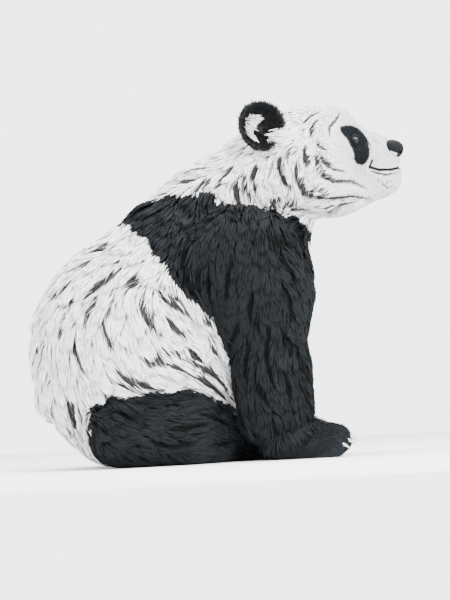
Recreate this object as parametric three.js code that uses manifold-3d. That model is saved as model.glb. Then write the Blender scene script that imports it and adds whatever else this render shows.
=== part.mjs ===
// Giant panda, sitting on its rump with the forelegs straight and the chin raised.
// Life size, millimetres, +X forwards, +Y to its left, +Z up, floor at z = 0.
import * as THREE from 'three';
import { mergeVertices } from 'three/addons/utils/BufferGeometryUtils.js';
import Module from 'manifold-3d';

const wasm = await Module();
wasm.setup();

// Driving dimensions, taken on the outside of the coat.
const gap = 0.3;              // between neighbouring sub-parts
const headTop = 895;          // crown above the floor
const noseTip = 488;          // nose ahead of the body's middle
const rumpReach = 488;        // back of the rump behind the body's middle
const rumpHalfWidth = 285;
const armApart = 172;         // foreleg's middle from the body's middle plane
const footApart = 58;         // hind foot's middle from the body's middle plane
const kneeApart = 200;
const eyeRadius = 12;
const earRadius = 60;
const cells = { torso: 54, neck: 44, head: 21, arm: 41, leg: 45, forepaw: 34, hindfoot: 40, tail: 26 };
const blends = { trunk: 46, head: 34, limb: 36, paw: 16 };

// Masses of the body: middle and half-sizes; paired ones are given for the left side.
const trunk = {
  rump: { at: [rumpHalfWidth - 2 - rumpReach, 0, 292], half: [283, rumpHalfWidth, 302] },
  back: { at: [-75, 0, 465], half: [230, 215, 226] },
  withers: { at: [5, 0, 605], half: [165, 145, 170] },
  chest: { at: [85, 0, 440], half: [160, 185, 205] },
  dewlap: { at: [165, 0, 600], half: [78, 100, 88] },
  neck: { at: [135, 0, 706], half: [145, 138, 140] },
};
const skull = {
  cranium: { at: [240, 0, headTop - 120], half: [148, 132, 120] },
  brow: { at: [305, 0, 816], half: [71, 88, 78] },
  cheek: { at: [258, 72, 728], half: [102, 84, 98], paired: true },
  throat: { at: [298, 0, 668], half: [100, 92, 63] },
  bridge: { at: [375, 0, 783], half: [60, 48, 42] },
  muzzle: { at: [noseTip - 73, 0, 760], half: [68, 55, 48] },
  jaw: { at: [405, 0, 700], half: [76, 49, 55] },
};
const arm = {
  shoulder: { at: [75, 165, 500], half: [140, 88, 150] },
  upper: { at: [105, armApart, 385], half: [128, 80, 150] },
  fore: { at: [125, armApart, 215], half: [104, 74, 150] },
  cuff: { at: [132, armApart, 118], half: [96, 68, 84] },
};
const forepaw = {
  palm: { at: [210, armApart + 3, 41], half: [100, 60, 52] },
  heel: { at: [150, armApart + 3, 30], half: [54, 54, 36] },
};
const leg = {
  thigh: { at: [-215, 190, 93], half: [143, 108, 102] },
  knee: { at: [-105, kneeApart, 94], half: [90, 92, 101] },
  shin: { at: [-45, 140, 70], half: [72, 70, 78] },
  ankle: { at: [-5, 82, 58], half: [52, 48, 66] },
};
const hindfoot = {
  sole: { at: [72, footApart, 34], half: [92, 42, 42] },
};
const tail = {
  dock: { at: [-443, 0, 182], half: [26, 40, 56] },
};
// The row of toes falls back and down towards the outside by skew and tilt, and at both ends by bow and arc.
const toes = { fore: { reach: 285, spread: 23, half: [42, 14.5, 36], claw: 24, root: 13, drop: 0.85,
  skew: 3.5, tilt: 5.5, bow: 3.4, arc: 1.6 },
  hind: { reach: 148, spread: 16, half: [26, 10.5, 18], claw: 20, root: 9, drop: 0.55,
    skew: 0, tilt: 1.5, bow: 3.4, arc: 2.2 } };

// Coat: how deep the solid core lies under the tips, and the locks set on each sub-part.
const coatDepth = { trunk: 15, arm: 10, leg: 10, tail: 6 };
const pressedCoat = { flat: 8, full: 80 };      // heights between which the weight presses it flat
const lowestLock = 1;         // above the floor
const lowestRoot = 40;
const skinSlack = 4;          // a root this near the skin is on it
const bareFace = 185;         // no locks this near the middle of the face
const hiddenBelly = { x: 40, y: 95, z: 340 };   // between the forelegs, out of sight
const faceMiddle = [400, 0, 770];
const coatStarts = 110;       // from the middle of the face
const coatFull = 320;
const locks = {
  head: { count: 16, long: 84, wide: 40, thick: 7, apart: 44 },
  neck: { count: 22, long: 125, wide: 58, thick: 8, apart: 58 },
  torso: { count: 54, long: 165, wide: 74, thick: 10, apart: 80 },
  upper_arm: { count: 10, long: 125, wide: 52, thick: 8, apart: 66 },
  forearm: { count: 11, long: 92, wide: 46, thick: 7, apart: 52 },
  thigh: { count: 10, long: 110, wide: 50, thick: 8, apart: 62 },
  shin: { count: 3, long: 70, wide: 36, thick: 6, apart: 50 },
  tail: { count: 4, long: 62, wide: 30, thick: 6, apart: 26 },
};
const colours = { black: 0x2d3236, white: 0xeeeeee, claw: 0xd8d4c8, eye: 0x0c0a09, nose: 0x151517 };

// Cuts between sub-parts: a point on the plane and the direction of the outer part.
const cuts = {
  head: { at: [178, 0, 735], towards: [0.72, 0, 0.69] },
  neck: { at: [35, 0, 640], towards: [0.24, 0, 0.97] },
  elbow: { at: [110, 0, 300], towards: [0.1, 0, -1] },
  wrist: { at: [140, 0, 74], towards: [0.2, 0, -1] },
  knee: { at: [-70, 170, 80], towards: [0.8, -0.6, 0] },
  ankle: { at: [12, 70, 60], towards: [1, -0.15, -0.1] },
};

const vector = (values) => new THREE.Vector3(...values);

// Distances to the masses, smoothly joined.
function massDistance(mass, x, y, z) {
  const [cx, cy, cz] = mass.at;
  const [hx, hy, hz] = mass.half;
  const dx = x - cx;
  const dy = (mass.paired ? Math.abs(y) : y) - cy;
  const dz = z - cz;
  const scaled = Math.hypot(dx / hx, dy / hy, dz / hz);
  const slope = Math.hypot(dx / (hx * hx), dy / (hy * hy), dz / (hz * hz));
  return slope < 1e-9 ? -Math.min(hx, hy, hz) : scaled * (scaled - 1) / slope;
}

function smoothMin(a, b, width) {
  const share = Math.max(width - Math.abs(a - b), 0) / width;
  return Math.min(a, b) - share * share * width * 0.25;
}

function fieldOf(masses, width) {
  const list = Object.values(masses);
  return (x, y, z) => {
    let distance = massDistance(list[0], x, y, z);
    for (let i = 1; i < list.length; i += 1) {
      distance = smoothMin(distance, massDistance(list[i], x, y, z), width);
    }
    return distance;
  };
}

function gradientAt(field, p) {
  const step = 0.5;
  return new THREE.Vector3(
    field(p.x + step, p.y, p.z) - field(p.x - step, p.y, p.z),
    field(p.x, p.y + step, p.z) - field(p.x, p.y - step, p.z),
    field(p.x, p.y, p.z + step) - field(p.x, p.y, p.z - step),
  ).divideScalar(2 * step);
}

function settle(field, p, level, rounds = 3) {
  for (let i = 0; i < rounds; i += 1) {
    const gradient = gradientAt(field, p);
    const steep = Math.max(gradient.lengthSq(), 0.05);
    p.addScaledVector(gradient, (level - field(p.x, p.y, p.z)) / steep);
  }
  return p;
}

// A closed mesh of the surface where a field is zero, by dual cells of one size. It may be grown
// along its normals, with the same triangles.
function fieldSolid(field, box, cell, grow = 0) {
  const count = [0, 1, 2].map((a) => Math.ceil((box[1][a] - box[0][a]) / cell) + 1);
  const [nx, ny, nz] = count;
  const place = (i, a) => box[0][a] + i * cell;
  const values = new Float64Array(nx * ny * nz);
  const index = (i, j, k) => i + nx * (j + ny * k);
  const edge = (i, n) => i === 0 || i === n - 1;
  for (let k = 0; k < nz; k += 1) {
    for (let j = 0; j < ny; j += 1) {
      for (let i = 0; i < nx; i += 1) {
        const value = field(place(i, 0), place(j, 1), place(k, 2));
        const outside = edge(i, nx) || edge(j, ny) || edge(k, nz);
        values[index(i, j, k)] = outside ? Math.max(value, cell / 2) : value;
      }
    }
  }
  const vertexOf = new Map();
  const vertices = [];
  const corners = [0, 1, 2, 3, 4, 5, 6, 7].map((c) => [c & 1, (c >> 1) & 1, c >> 2]);
  const cellVertex = (i, j, k) => {
    const key = index(i, j, k);
    if (vertexOf.has(key)) return vertexOf.get(key);
    const sum = new THREE.Vector3();
    let crossings = 0;
    for (let a = 0; a < 8; a += 1) {
      for (let axis = 0; axis < 3; axis += 1) {
        if (corners[a][axis] === 1) continue;
        const b = a + (1 << axis);
        const va = values[index(i + corners[a][0], j + corners[a][1], k + corners[a][2])];
        const vb = values[index(i + corners[b][0], j + corners[b][1], k + corners[b][2])];
        if ((va < 0) === (vb < 0)) continue;
        const t = va / (va - vb);
        const p = [i + corners[a][0], j + corners[a][1], k + corners[a][2]];
        p[axis] += t;
        sum.add(vector(p));
        crossings += 1;
      }
    }
    sum.divideScalar(crossings).multiplyScalar(cell).add(vector(box[0]));
    const settled = settle(field, sum.clone(), 0);
    if (settled.distanceTo(sum) < cell * 0.6) sum.copy(settled);
    vertices.push(sum.x, sum.y, sum.z);
    vertexOf.set(key, vertices.length / 3 - 1);
    return vertices.length / 3 - 1;
  };
  const triangles = [];
  const corner = (v) => new THREE.Vector3(vertices[3 * v], vertices[3 * v + 1], vertices[3 * v + 2]);
  const quad = (a, b, c, d) => {
    if (corner(a).distanceTo(corner(c)) < corner(b).distanceTo(corner(d))) {
      triangles.push(a, b, c, a, c, d);
    } else {
      triangles.push(a, b, d, b, c, d);
    }
  };
  const steps = [[1, 0, 0], [0, 1, 0], [0, 0, 1]];
  for (let k = 0; k < nz - 1; k += 1) {
    for (let j = 0; j < ny - 1; j += 1) {
      for (let i = 0; i < nx - 1; i += 1) {
        for (let axis = 0; axis < 3; axis += 1) {
          const [si, sj, sk] = steps[axis];
          const here = values[index(i, j, k)] < 0;
          const there = values[index(i + si, j + sj, k + sk)] < 0;
          if (here === there) continue;
          const [u, v] = [steps[(axis + 1) % 3], steps[(axis + 2) % 3]];
          const around = [[1, 1], [0, 1], [0, 0], [1, 0]].map(([a, b]) => cellVertex(
            i - a * u[0] - b * v[0], j - a * u[1] - b * v[1], k - a * u[2] - b * v[2]));
          if (here) quad(around[0], around[3], around[2], around[1]);
          else quad(...around);
        }
      }
    }
  }
  for (let v = 0; grow && v < vertices.length; v += 3) {
    const outwards = gradientAt(field, corner(v / 3)).normalize().multiplyScalar(grow);
    outwards.toArray().forEach((shift, a) => { vertices[v + a] += shift; });
  }
  return solidOf(vertices, triangles);
}

function solidOf(vertices, triangles) {
  const mesh = new wasm.Mesh({
    numProp: 3,
    vertProperties: new Float32Array(vertices),
    triVerts: new Uint32Array(triangles),
  });
  const solid = new wasm.Manifold(mesh);
  return solid.volume() < 0 ? solidOf(vertices, [...triangles].reverse()) : solid;
}

function solidFrom(geometry) {
  geometry.deleteAttribute('normal');
  geometry.deleteAttribute('uv');
  const merged = mergeVertices(geometry, 1e-4);
  return solidOf(merged.attributes.position.array, merged.index.array);
}

// Everything on one side of a plane, as a very large block.
function halfSpace(cut, side, shift = gap / 2) {
  const size = 4000;
  const towards = vector(cut.towards).normalize().multiplyScalar(side);
  const block = new THREE.BoxGeometry(size, size, size);
  block.applyQuaternion(new THREE.Quaternion().setFromUnitVectors(new THREE.Vector3(0, 0, 1), towards));
  const middle = vector(cut.at).addScaledVector(towards, size / 2 + shift);
  return solidFrom(block.translate(middle.x, middle.y, middle.z));
}

function largest(solid) {
  const pieces = solid.decompose();
  return pieces.reduce((best, piece) => (piece.volume() > best.volume() ? piece : best));
}

const floor = { at: [0, 0, 0], towards: [0, 0, 1] };
const aboveFloor = halfSpace(floor, 1, 0);

function pod(at, half, turn = 0, sides = 10) {
  const ball = new THREE.SphereGeometry(1, sides, Math.round(sides * 0.6));
  ball.scale(...half).rotateY(turn);
  return solidFrom(ball.translate(...at));
}

// A closed strip along a line: each ring has four sides, and both ends may taper to a point.
function strip(centres, ups, halfWidths, halfHeights) {
  const vertices = [];
  const triangles = [];
  const rings = [];
  centres.forEach((centre, i) => {
    const before = centres[Math.max(i - 1, 0)];
    const after = centres[Math.min(i + 1, centres.length - 1)];
    const along = after.clone().sub(before).normalize();
    const across = along.clone().cross(ups[i]).normalize();
    const up = across.clone().cross(along);
    const first = vertices.length / 3;
    const pointed = halfWidths[i] < 0.01;
    const spots = pointed ? [centre] : [[1, 0], [0, 1], [-1, 0], [0, -1]].map(([a, b]) => centre.clone()
      .addScaledVector(across, a * halfWidths[i]).addScaledVector(up, b * halfHeights[i]));
    spots.forEach((spot) => vertices.push(spot.x, spot.y, spot.z));
    rings.push(spots.map((_, n) => first + n));
  });
  for (let i = 0; i + 1 < rings.length; i += 1) {
    const [a, b] = [rings[i], rings[i + 1]];
    for (let n = 0; n < 4; n += 1) {
      const m = (n + 1) % 4;
      if (a.length === 1 && b.length === 4) triangles.push(a[0], b[n], b[m]);
      if (a.length === 4 && b.length === 1) triangles.push(a[n], b[0], a[m]);
      if (a.length === 4 && b.length === 4) triangles.push(a[n], b[n], b[m], a[n], b[m], a[m]);
    }
  }
  const [start, end] = [rings[0], rings[rings.length - 1]];
  if (start.length === 4) triangles.push(start[0], start[1], start[2], start[0], start[2], start[3]);
  if (end.length === 4) triangles.push(end[2], end[1], end[0], end[3], end[2], end[0]);
  return solidOf(vertices, triangles);
}

// Fields of the body's main pieces.
const trunkField = fieldOf(trunk, blends.trunk);
const skullField = fieldOf(skull, blends.head);
const bodyField = (x, y, z) => smoothMin(trunkField(x, y, z), skullField(x, y, z), blends.head);
const smoothStep = (t) => {
  const c = Math.min(Math.max(t, 0), 1);
  return c * c * (3 - 2 * c);
};
const loft = (z) => smoothStep((z - pressedCoat.flat) / (pressedCoat.full - pressedCoat.flat));
const trunkDepth = (x, y, z) => {
  const away = Math.hypot(x - faceMiddle[0], y - faceMiddle[1], z - faceMiddle[2]);
  return coatDepth.trunk * loft(z) * smoothStep((away - coatStarts) / (coatFull - coatStarts));
};
const limbDepth = (kind) => (p) => coatDepth[kind] * loft(p.z);
const coreField = (x, y, z) => bodyField(x, y, z) + trunkDepth(x, y, z);
const raised = (field, depth) => (x, y, z) => field(x, y, z) + depth * loft(z);
const mirrored = (field, side) => (x, y, z) => field(x, y * side, z);
const limbFields = {
  arm: fieldOf(arm, blends.limb),
  forepaw: fieldOf(forepaw, blends.paw),
  leg: fieldOf(leg, blends.limb),
  hindfoot: fieldOf(hindfoot, blends.paw),
};

function outerPoint(x, z, side) {
  let [inside, outside] = [0, 260];
  for (let i = 0; i < 24; i += 1) {
    const middle = (inside + outside) / 2;
    if (bodyField(x, middle, z) < 0) inside = middle;
    else outside = middle;
  }
  return new THREE.Vector3(x, inside * side, z);
}

const boxes = {
  torso: [[-560, -380, -60], [330, 380, 760]],
  neck: [[-230, -240, 520], [330, 240, 920]],
  head: [[50, -200, 560], [540, 200, 960]],
  arm: [[-120, 40, -20], [300, 300, 700]],
  forepaw: [[60, 80, -50], [360, 270, 130]],
  leg: [[-410, 0, -60], [110, 340, 240]],
  hindfoot: [[-60, -10, -50], [210, 140, 120]],
  tail: [[-520, -80, 90], [-400, 80, 270]],
};

const mirrorBox = (box, side) => (side > 0 ? box : [[box[0][0], -box[1][1], box[0][2]],
  [box[1][0], -box[0][1], box[1][2]]]);
const mirrorCut = (cut, side) => ({ at: [cut.at[0], cut.at[1] * side, cut.at[2]],
  towards: [cut.towards[0], cut.towards[1] * side, cut.towards[2]] });

// Head: eyes, lids, mouth line, lips and the seat of the nose.
const eyeSpot = { x: 368, z: 803 };
const eyeSunk = 6;

function eyeCentre(side) {
  const spot = outerPoint(eyeSpot.x, eyeSpot.z, side);
  const normal = gradientAt(bodyField, spot).normalize();
  return { centre: spot.addScaledVector(normal, -eyeSunk), normal };
}

function eyeBall(side, extra = 0) {
  const { centre } = eyeCentre(side);
  const radius = eyeRadius + extra;
  return pod([centre.x, centre.y, centre.z], [radius, radius, radius], 0, 10);
}

function lids(side) {
  const { centre, normal } = eyeCentre(side);
  const forwards = new THREE.Vector3(1, 0, -0.35);
  forwards.addScaledVector(normal, -forwards.dot(normal)).normalize();
  const upwards = forwards.clone().cross(normal).normalize();
  if (upwards.z < 0) upwards.negate();
  return [1, -1].map((way) => {
    const turns = [0, 0.3, 0.7, 1].map((t) => Math.PI * t);
    const centres = turns.map((turn) => centre.clone()
      .addScaledVector(forwards, Math.cos(turn) * (eyeRadius + 3))
      .addScaledVector(upwards, way * Math.sin(turn) * eyeRadius * 0.72)
      .addScaledVector(normal, eyeSunk - 1 + 3 * Math.sin(turn)));
    const ups = centres.map(() => normal);
    return strip(centres, ups, [0, 4.4, 4.4, 0], [0, 4, 4, 0]);
  });
}

const mouthLine = [[399, 729], [424, 722], [456, 722], [474, 726]];
const mouthFront = 727;

function mouthPath() {
  const right = mouthLine.map(([x, z]) => outerPoint(x, z, -1));
  const left = mouthLine.map(([x, z]) => outerPoint(x, z, 1)).reverse();
  const front = settle(bodyField, new THREE.Vector3(noseTip - 6, 0, mouthFront), 0, 5);
  return [...right, front, ...left];
}

function mouthStrip(halfHeight, depth, lift) {
  const path = mouthPath();
  const ups = path.map(() => new THREE.Vector3(0, 0, 1));
  const centres = path.map((p) => p.clone().addScaledVector(gradientAt(bodyField, p).normalize(), lift));
  const last = path.length - 1;
  const taper = path.map((_, i) => (i === 0 || i === last ? 0 : 1));
  return strip(centres, ups, taper.map((t) => t * depth), taper.map((t) => t * halfHeight));
}

const nosePad = { at: [472, 0, 772], half: [17, 27, 20] };

function noseSolid() {
  const [x, y, z] = nosePad.at;
  let nose = pod(nosePad.at, nosePad.half, 0.25, 11);
  for (const side of [-1, 1]) {
    nose = nose.subtract(pod([x + 13, y + side * 12, z - 1], [9, 5.5, 6.5], 0.6, 8));
  }
  return largest(nose);
}

function headSolid(region) {
  let head = fieldSolid(coreField, boxes.head, cells.head).intersect(region);
  head = head.add(mouthStrip(7, 3, 0.5)).subtract(mouthStrip(1.8, 5, 1.5));
  for (const side of [-1, 1]) {
    head = head.subtract(eyeBall(side, gap));
    for (const lid of lids(side)) head = head.add(lid.subtract(eyeBall(side, gap)));
  }
  const socket = pod(nosePad.at, nosePad.half.map((h) => h + gap), 0.25, 11);
  return largest(head.subtract(socket));
}

// Ear: a round cup, open outwards and a little forwards.
const ear = { at: [126, 112, 847], thick: 15, turn: 0.42, lean: 0.12 };

function earSolid(side, head) {
  const r = earRadius;
  const profile = [[0, -ear.thick], [r * 0.45, -ear.thick * 0.9], [r * 0.8, -ear.thick * 0.35],
    [r * 0.97, 4], [r, 11], [r * 0.93, 15], [r * 0.82, 9], [r * 0.62, -1], [r * 0.3, -5], [0, -6]];
  const cup = new THREE.LatheGeometry(profile.map(([a, b]) => new THREE.Vector2(a, b)), 15);
  cup.rotateX(side > 0 ? 0 : Math.PI);
  cup.rotateX(side * ear.lean).rotateZ(-side * ear.turn);
  cup.translate(ear.at[0], side * ear.at[1], ear.at[2]);
  return largest(solidFrom(cup).subtract(head));
}

// Toes and claws: five in a shallow arc on each paw.
function toeSpots(kind, side) {
  const { reach, spread, half, skew, tilt, bow, arc } = toes[kind];
  const apart = kind === 'fore' ? armApart + 3 : footApart;
  return [-2, -1, 0, 1, 2].map((n) => ({
    at: [reach - bow * n * n - skew * n, side * (apart + n * spread * 0.96),
      half[2] + 7 - arc * n * n - tilt * n],
    n,
  }));
}

function pawSolid(kind, side, field, box, cell, keep) {
  let paw = fieldSolid(mirrored(field, side), mirrorBox(box, side), cell);
  toeSpots(kind, side).forEach(({ at }) => {
    paw = paw.add(pod(at, toes[kind].half, 0.12, 6));
  });
  paw = paw.intersect(keep);
  toeSpots(kind, side).forEach((spot) => {
    paw = paw.subtract(clawSolid(kind, spot, gap));
  });
  return largest(paw);
}

function clawSolid(kind, { at }, extra = 0) {
  const { half, claw, root, drop } = toes[kind];
  const [x, y, z] = at;
  const base = x + half[0] - root;
  const reach = [0, 0.4, 0.75, 1].map((t) => new THREE.Vector3(base + claw * t - (extra ? 0.3 : 0),
    y, Math.max(z + 4 - claw * drop * t * t, 1.5 * (1 - t) + 4)));
  const ups = reach.map(() => new THREE.Vector3(0, 0, 1));
  const thick = claw / 6;
  return strip(reach, ups, [thick + extra, thick * 0.85 + extra, thick * 0.55, 0],
    [thick * 1.3 + extra, thick + extra, thick * 0.6, 0]);
}

// The lie of the coat, by height on the trunk and by limb.
const trunkLie = [
  { z: 120, lie: [0.75, 0, -0.5] },
  { z: 260, lie: [0.35, 0, -0.9] },
  { z: 420, lie: [-0.2, 0, -1] },
  { z: 560, lie: [-0.7, 0, -0.75] },
  { z: 700, lie: [-0.85, 0, -0.6] },
  { z: 900, lie: [-1, 0, -0.35] },
];
const limbLie = { arm: [-0.1, 0, -1], leg: [0.9, 0, -0.3], tail: [0.05, 0, -1] };

function trunkLieAt(p) {
  const after = trunkLie.findIndex((row) => row.z > p.z);
  if (after === 0) return vector(trunkLie[0].lie);
  const high = after < 0 ? trunkLie.at(-1) : trunkLie[after];
  const low = after < 0 ? high : trunkLie[after - 1];
  const t = after < 0 ? 0 : (p.z - low.z) / (high.z - low.z);
  const lie = vector(low.lie).lerp(vector(high.lie), t);
  const onRump = smoothStep((-330 - p.x) / 100);
  return lie.lerp(new THREE.Vector3(0.3, 0, -1), onRump);
}

const draw = seededDraw(11);

function seededDraw(seed) {
  let state = seed;
  return () => {
    state = (state * 1664525 + 1013904223) % 4294967296;
    return state / 4294967296;
  };
}

// Roots spread evenly over a solid's skin, away from its cuts and from the floor.
function rootsOn(solid, size, draw, accept) {
  const { vertProperties, triVerts } = solid.getMesh();
  const corner = (n) => new THREE.Vector3().fromArray(vertProperties, 3 * triVerts[n]);
  const areas = [];
  let total = 0;
  for (let n = 0; n < triVerts.length; n += 3) {
    total += new THREE.Triangle(corner(n), corner(n + 1), corner(n + 2)).getArea();
    areas.push(total);
  }
  const roots = [];
  for (let tries = 0; tries < size.count * 60 && roots.length < size.count; tries += 1) {
    const pick = draw() * total;
    const n = 3 * areas.findIndex((area) => area >= pick);
    const [a, b] = [Math.sqrt(draw()), draw()];
    const spot = corner(n).multiplyScalar(1 - a).addScaledVector(corner(n + 1), a * (1 - b))
      .addScaledVector(corner(n + 2), a * b);
    if (accept(spot) && roots.every((root) => root.distanceTo(spot) > size.apart)) roots.push(spot);
  }
  return roots;
}

// One lock: sunk at its root, rising to the tips of the coat and bending back at its point.
function lockAt(root, size, core, long, swing, extra = 0) {
  const { outer, lieAt } = core;
  const depth = core.depthAt(root);
  const shares = [0, 0.34, 0.7, 1];
  const levels = [-depth - size.thick, -depth * 0.3, -size.thick * 0.2, 0];
  const widths = [0.62, 1, 0.72, 0].map((w) => w && w * size.wide / 2 + extra);
  const heights = [0.5, 0.5, 0.4, 0].map((h) => h * size.thick + extra);
  const surface = settle(outer, root.clone(), 0);
  const centres = [];
  const ups = [];
  shares.forEach((share, i) => {
    const normal = gradientAt(outer, surface).normalize();
    centres.push(surface.clone().addScaledVector(normal, levels[i]));
    ups.push(normal);
    if (i + 1 === shares.length) return;
    const lie = lieAt(surface);
    lie.addScaledVector(normal, -lie.dot(normal)).normalize();
    const sideways = normal.clone().cross(lie);
    lie.addScaledVector(sideways, swing * (i - 0.6)).normalize();
    surface.addScaledVector(lie, long * (shares[i + 1] - share));
    settle(outer, surface, 0);
  });
  return strip(centres, ups, widths, heights);
}

function boxesMeet(a, b) {
  return [0, 1, 2].every((i) => a.min[i] < b.max[i] && b.min[i] < a.max[i]);
}

function crosses(lock, others) {
  const box = lock.boundingBox();
  if (box.min[2] < lowestLock) return true;
  return others.some((other) => boxesMeet(box, other.boundingBox())
    && lock.intersect(other).volume() > 0);
}

// A root is used where the core's own skin is, above the floor and away from the face and ears.
function rootFits(core, p) {
  const depth = core.depthAt(p);
  if (Math.abs(core.outer(p.x, p.y, p.z) + depth) > skinSlack || p.z < lowestRoot) return false;
  const fromFace = Math.hypot(p.x - faceMiddle[0], p.y, p.z - faceMiddle[2]);
  const fromEar = Math.hypot(p.x - ear.at[0], Math.abs(p.y) - ear.at[1], p.z - ear.at[2]);
  const hidden = p.x > hiddenBelly.x && Math.abs(p.y) < hiddenBelly.y && p.z < hiddenBelly.z;
  return fromFace > bareFace && fromEar > earRadius + 4 && !hidden;
}

// Locks are fused with their core. One that would cross another sub-part is moved back along the
// lie or made shorter until it is clear, and left out where it can't be.
function furred(core, others, draw) {
  const size = locks[core.kind];
  const kept = [];
  for (const root of rootsOn(core.solid, size, draw, (p) => rootFits(core, p))) {
    const long = size.long * (0.85 + 0.35 * draw());
    const swing = 0.5 * (draw() - 0.5);
    for (const [back, share] of [[0, 1], [0.15, 0.9], [0, 0.7], [0.3, 0.8]]) {
      const start = root.clone().addScaledVector(core.lieAt(root), -back * long);
      if (crosses(lockAt(start, size, core, long * share, swing, 2 * gap), others)) continue;
      kept.push(lockAt(start, size, core, long * share, swing));
      break;
    }
  }
  return largest(wasm.Manifold.union([core.solid, ...kept]));
}

// Assembly: the cores first, so that each lock can be kept clear of every other sub-part.
const panda = new THREE.Group();
panda.name = 'giant_panda';
const solids = {};
const cores = [];

function keep(name, solid, colour, roughness = 0.9) {
  solids[name] = { solid, colour, roughness };
}

function addCore(name, kind, solid, colour, outer, depthAt, lieAt) {
  keep(name, solid, colour);
  cores.push({ name, kind, solid, outer, depthAt, lieAt });
}

const headSide = halfSpace(cuts.head, 1);
const bodySide = halfSpace(cuts.head, -1);
const overNeck = halfSpace(cuts.neck, 1);
const underNeck = halfSpace(cuts.neck, -1);
const depthOnTrunk = (p) => trunkDepth(p.x, p.y, p.z);

const head = headSolid(headSide.intersect(overNeck));
const neckCore = fieldSolid(coreField, boxes.neck, cells.neck);
const neck = largest(neckCore.intersect(overNeck).intersect(bodySide));
const torsoCore = fieldSolid(coreField, boxes.torso, cells.torso);
const torso = largest(torsoCore.intersect(underNeck).intersect(aboveFloor));
const torsoGrown = fieldSolid(coreField, boxes.torso, cells.torso, gap);
const neckGrown = fieldSolid(coreField, boxes.neck, cells.neck, gap).intersect(halfSpace(cuts.neck, 1, 0));
const headGrown = fieldSolid(coreField, boxes.head, cells.head, gap).intersect(halfSpace(cuts.head, 1, 0));
addCore('head', 'head', head, colours.white, bodyField, depthOnTrunk, trunkLieAt);
addCore('neck', 'neck', neck, colours.white, bodyField, depthOnTrunk, trunkLieAt);
addCore('torso', 'torso', torso, colours.white, bodyField, depthOnTrunk, trunkLieAt);
keep('nose', noseSolid(), colours.nose, 0.45);

const tailField = fieldOf(tail, 10);
const tailCore = fieldSolid(raised(tailField, coatDepth.tail), boxes.tail, cells.tail).subtract(torsoGrown);
addCore('tail', 'tail', largest(tailCore), colours.white, tailField, limbDepth('tail'),
  () => vector(limbLie.tail));

for (const side of [-1, 1]) {
  const hand = side > 0 ? 'left' : 'right';
  keep(`eye_${hand}`, eyeBall(side), colours.eye, 0.15);
  keep(`ear_${hand}`, earSolid(side, headGrown), colours.black);

  const armField = mirrored(limbFields.arm, side);
  const armCore = raised(armField, coatDepth.arm);
  const armBox = mirrorBox(boxes.arm, side);
  const armWhole = fieldSolid(armCore, armBox, cells.arm).subtract(torsoGrown).subtract(neckGrown);
  const upperSide = halfSpace(cuts.elbow, -1);
  const foreSide = halfSpace(cuts.elbow, 1).intersect(halfSpace(cuts.wrist, -1));
  const armDepth = limbDepth('arm');
  const armLie = () => vector(limbLie.arm);
  addCore(`upper_arm_${hand}`, 'upper_arm', largest(armWhole.intersect(upperSide)), colours.black,
    armField, armDepth, armLie);
  addCore(`forearm_${hand}`, 'forearm', largest(armWhole.intersect(foreSide)), colours.black,
    armField, armDepth, armLie);
  const pawSide = halfSpace(cuts.wrist, 1).intersect(aboveFloor);
  keep(`forepaw_${hand}`, pawSolid('fore', side, limbFields.forepaw, boxes.forepaw, cells.forepaw, pawSide),
    colours.black);

  const legField = mirrored(limbFields.leg, side);
  const legCore = raised(legField, coatDepth.leg);
  const armGrown = fieldSolid(armCore, armBox, cells.arm, gap);
  const legWhole = fieldSolid(legCore, mirrorBox(boxes.leg, side), cells.leg)
    .subtract(torsoGrown).subtract(armGrown).intersect(aboveFloor);
  const kneeCut = mirrorCut(cuts.knee, side);
  const ankleCut = mirrorCut(cuts.ankle, side);
  const legDepth = limbDepth('leg');
  const legLie = () => vector(limbLie.leg);
  addCore(`thigh_${hand}`, 'thigh', largest(legWhole.intersect(halfSpace(kneeCut, -1))), colours.black,
    legField, legDepth, legLie);
  const shin = legWhole.intersect(halfSpace(kneeCut, 1)).intersect(halfSpace(ankleCut, -1));
  addCore(`shin_${hand}`, 'shin', largest(shin), colours.black, legField, legDepth, legLie);
  const footSide = halfSpace(ankleCut, 1).intersect(aboveFloor).subtract(torsoGrown);
  keep(`hindfoot_${hand}`, pawSolid('hind', side, limbFields.hindfoot, boxes.hindfoot, cells.hindfoot,
    footSide), colours.black);

  for (const kind of ['fore', 'hind']) {
    toeSpots(kind, side).forEach((spot, n) => {
      keep(`claw_${kind}_${hand}_${n + 1}`, clawSolid(kind, spot), colours.claw, 0.35);
    });
  }
}

// The coat, from the head down, so that upper locks lie over the next sub-part.
for (const core of cores) {
  const others = Object.keys(solids).filter((name) => name !== core.name).map((name) => solids[name].solid);
  solids[core.name].solid = furred(core, others, draw);
}

// The origin is at the middle of the outline, on the floor.
function meshOf(name, { solid, colour, roughness }) {
  const { vertProperties, triVerts } = solid.getMesh();
  const geometry = new THREE.BufferGeometry();
  geometry.setAttribute('position', new THREE.BufferAttribute(new Float32Array(vertProperties), 3));
  geometry.setIndex(new THREE.BufferAttribute(new Uint32Array(triVerts), 1));
  geometry.computeVertexNormals();
  const material = new THREE.MeshStandardMaterial({ color: colour, roughness, metalness: 0 });
  const mesh = new THREE.Mesh(geometry, material);
  mesh.name = name;
  return mesh;
}

for (const [name, piece] of Object.entries(solids)) panda.add(meshOf(name, piece));
const outline = new THREE.Box3().setFromObject(panda);
panda.position.set(-(outline.min.x + outline.max.x) / 2, -(outline.min.y + outline.max.y) / 2, 0);
panda.updateMatrixWorld(true);

export default panda;
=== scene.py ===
# Giant panda sitting with straight forelegs and raised chin: skin, coat, face and claws
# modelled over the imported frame. Metres, +X forwards, +Y to its left, floor at z = 0.
# Lines drawn on its side are x and z in turn, in millimetres.
import math
import bpy
import numpy as np
from mathutils import Matrix, Vector
from mathutils.kdtree import KDTree
from types import SimpleNamespace


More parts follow.
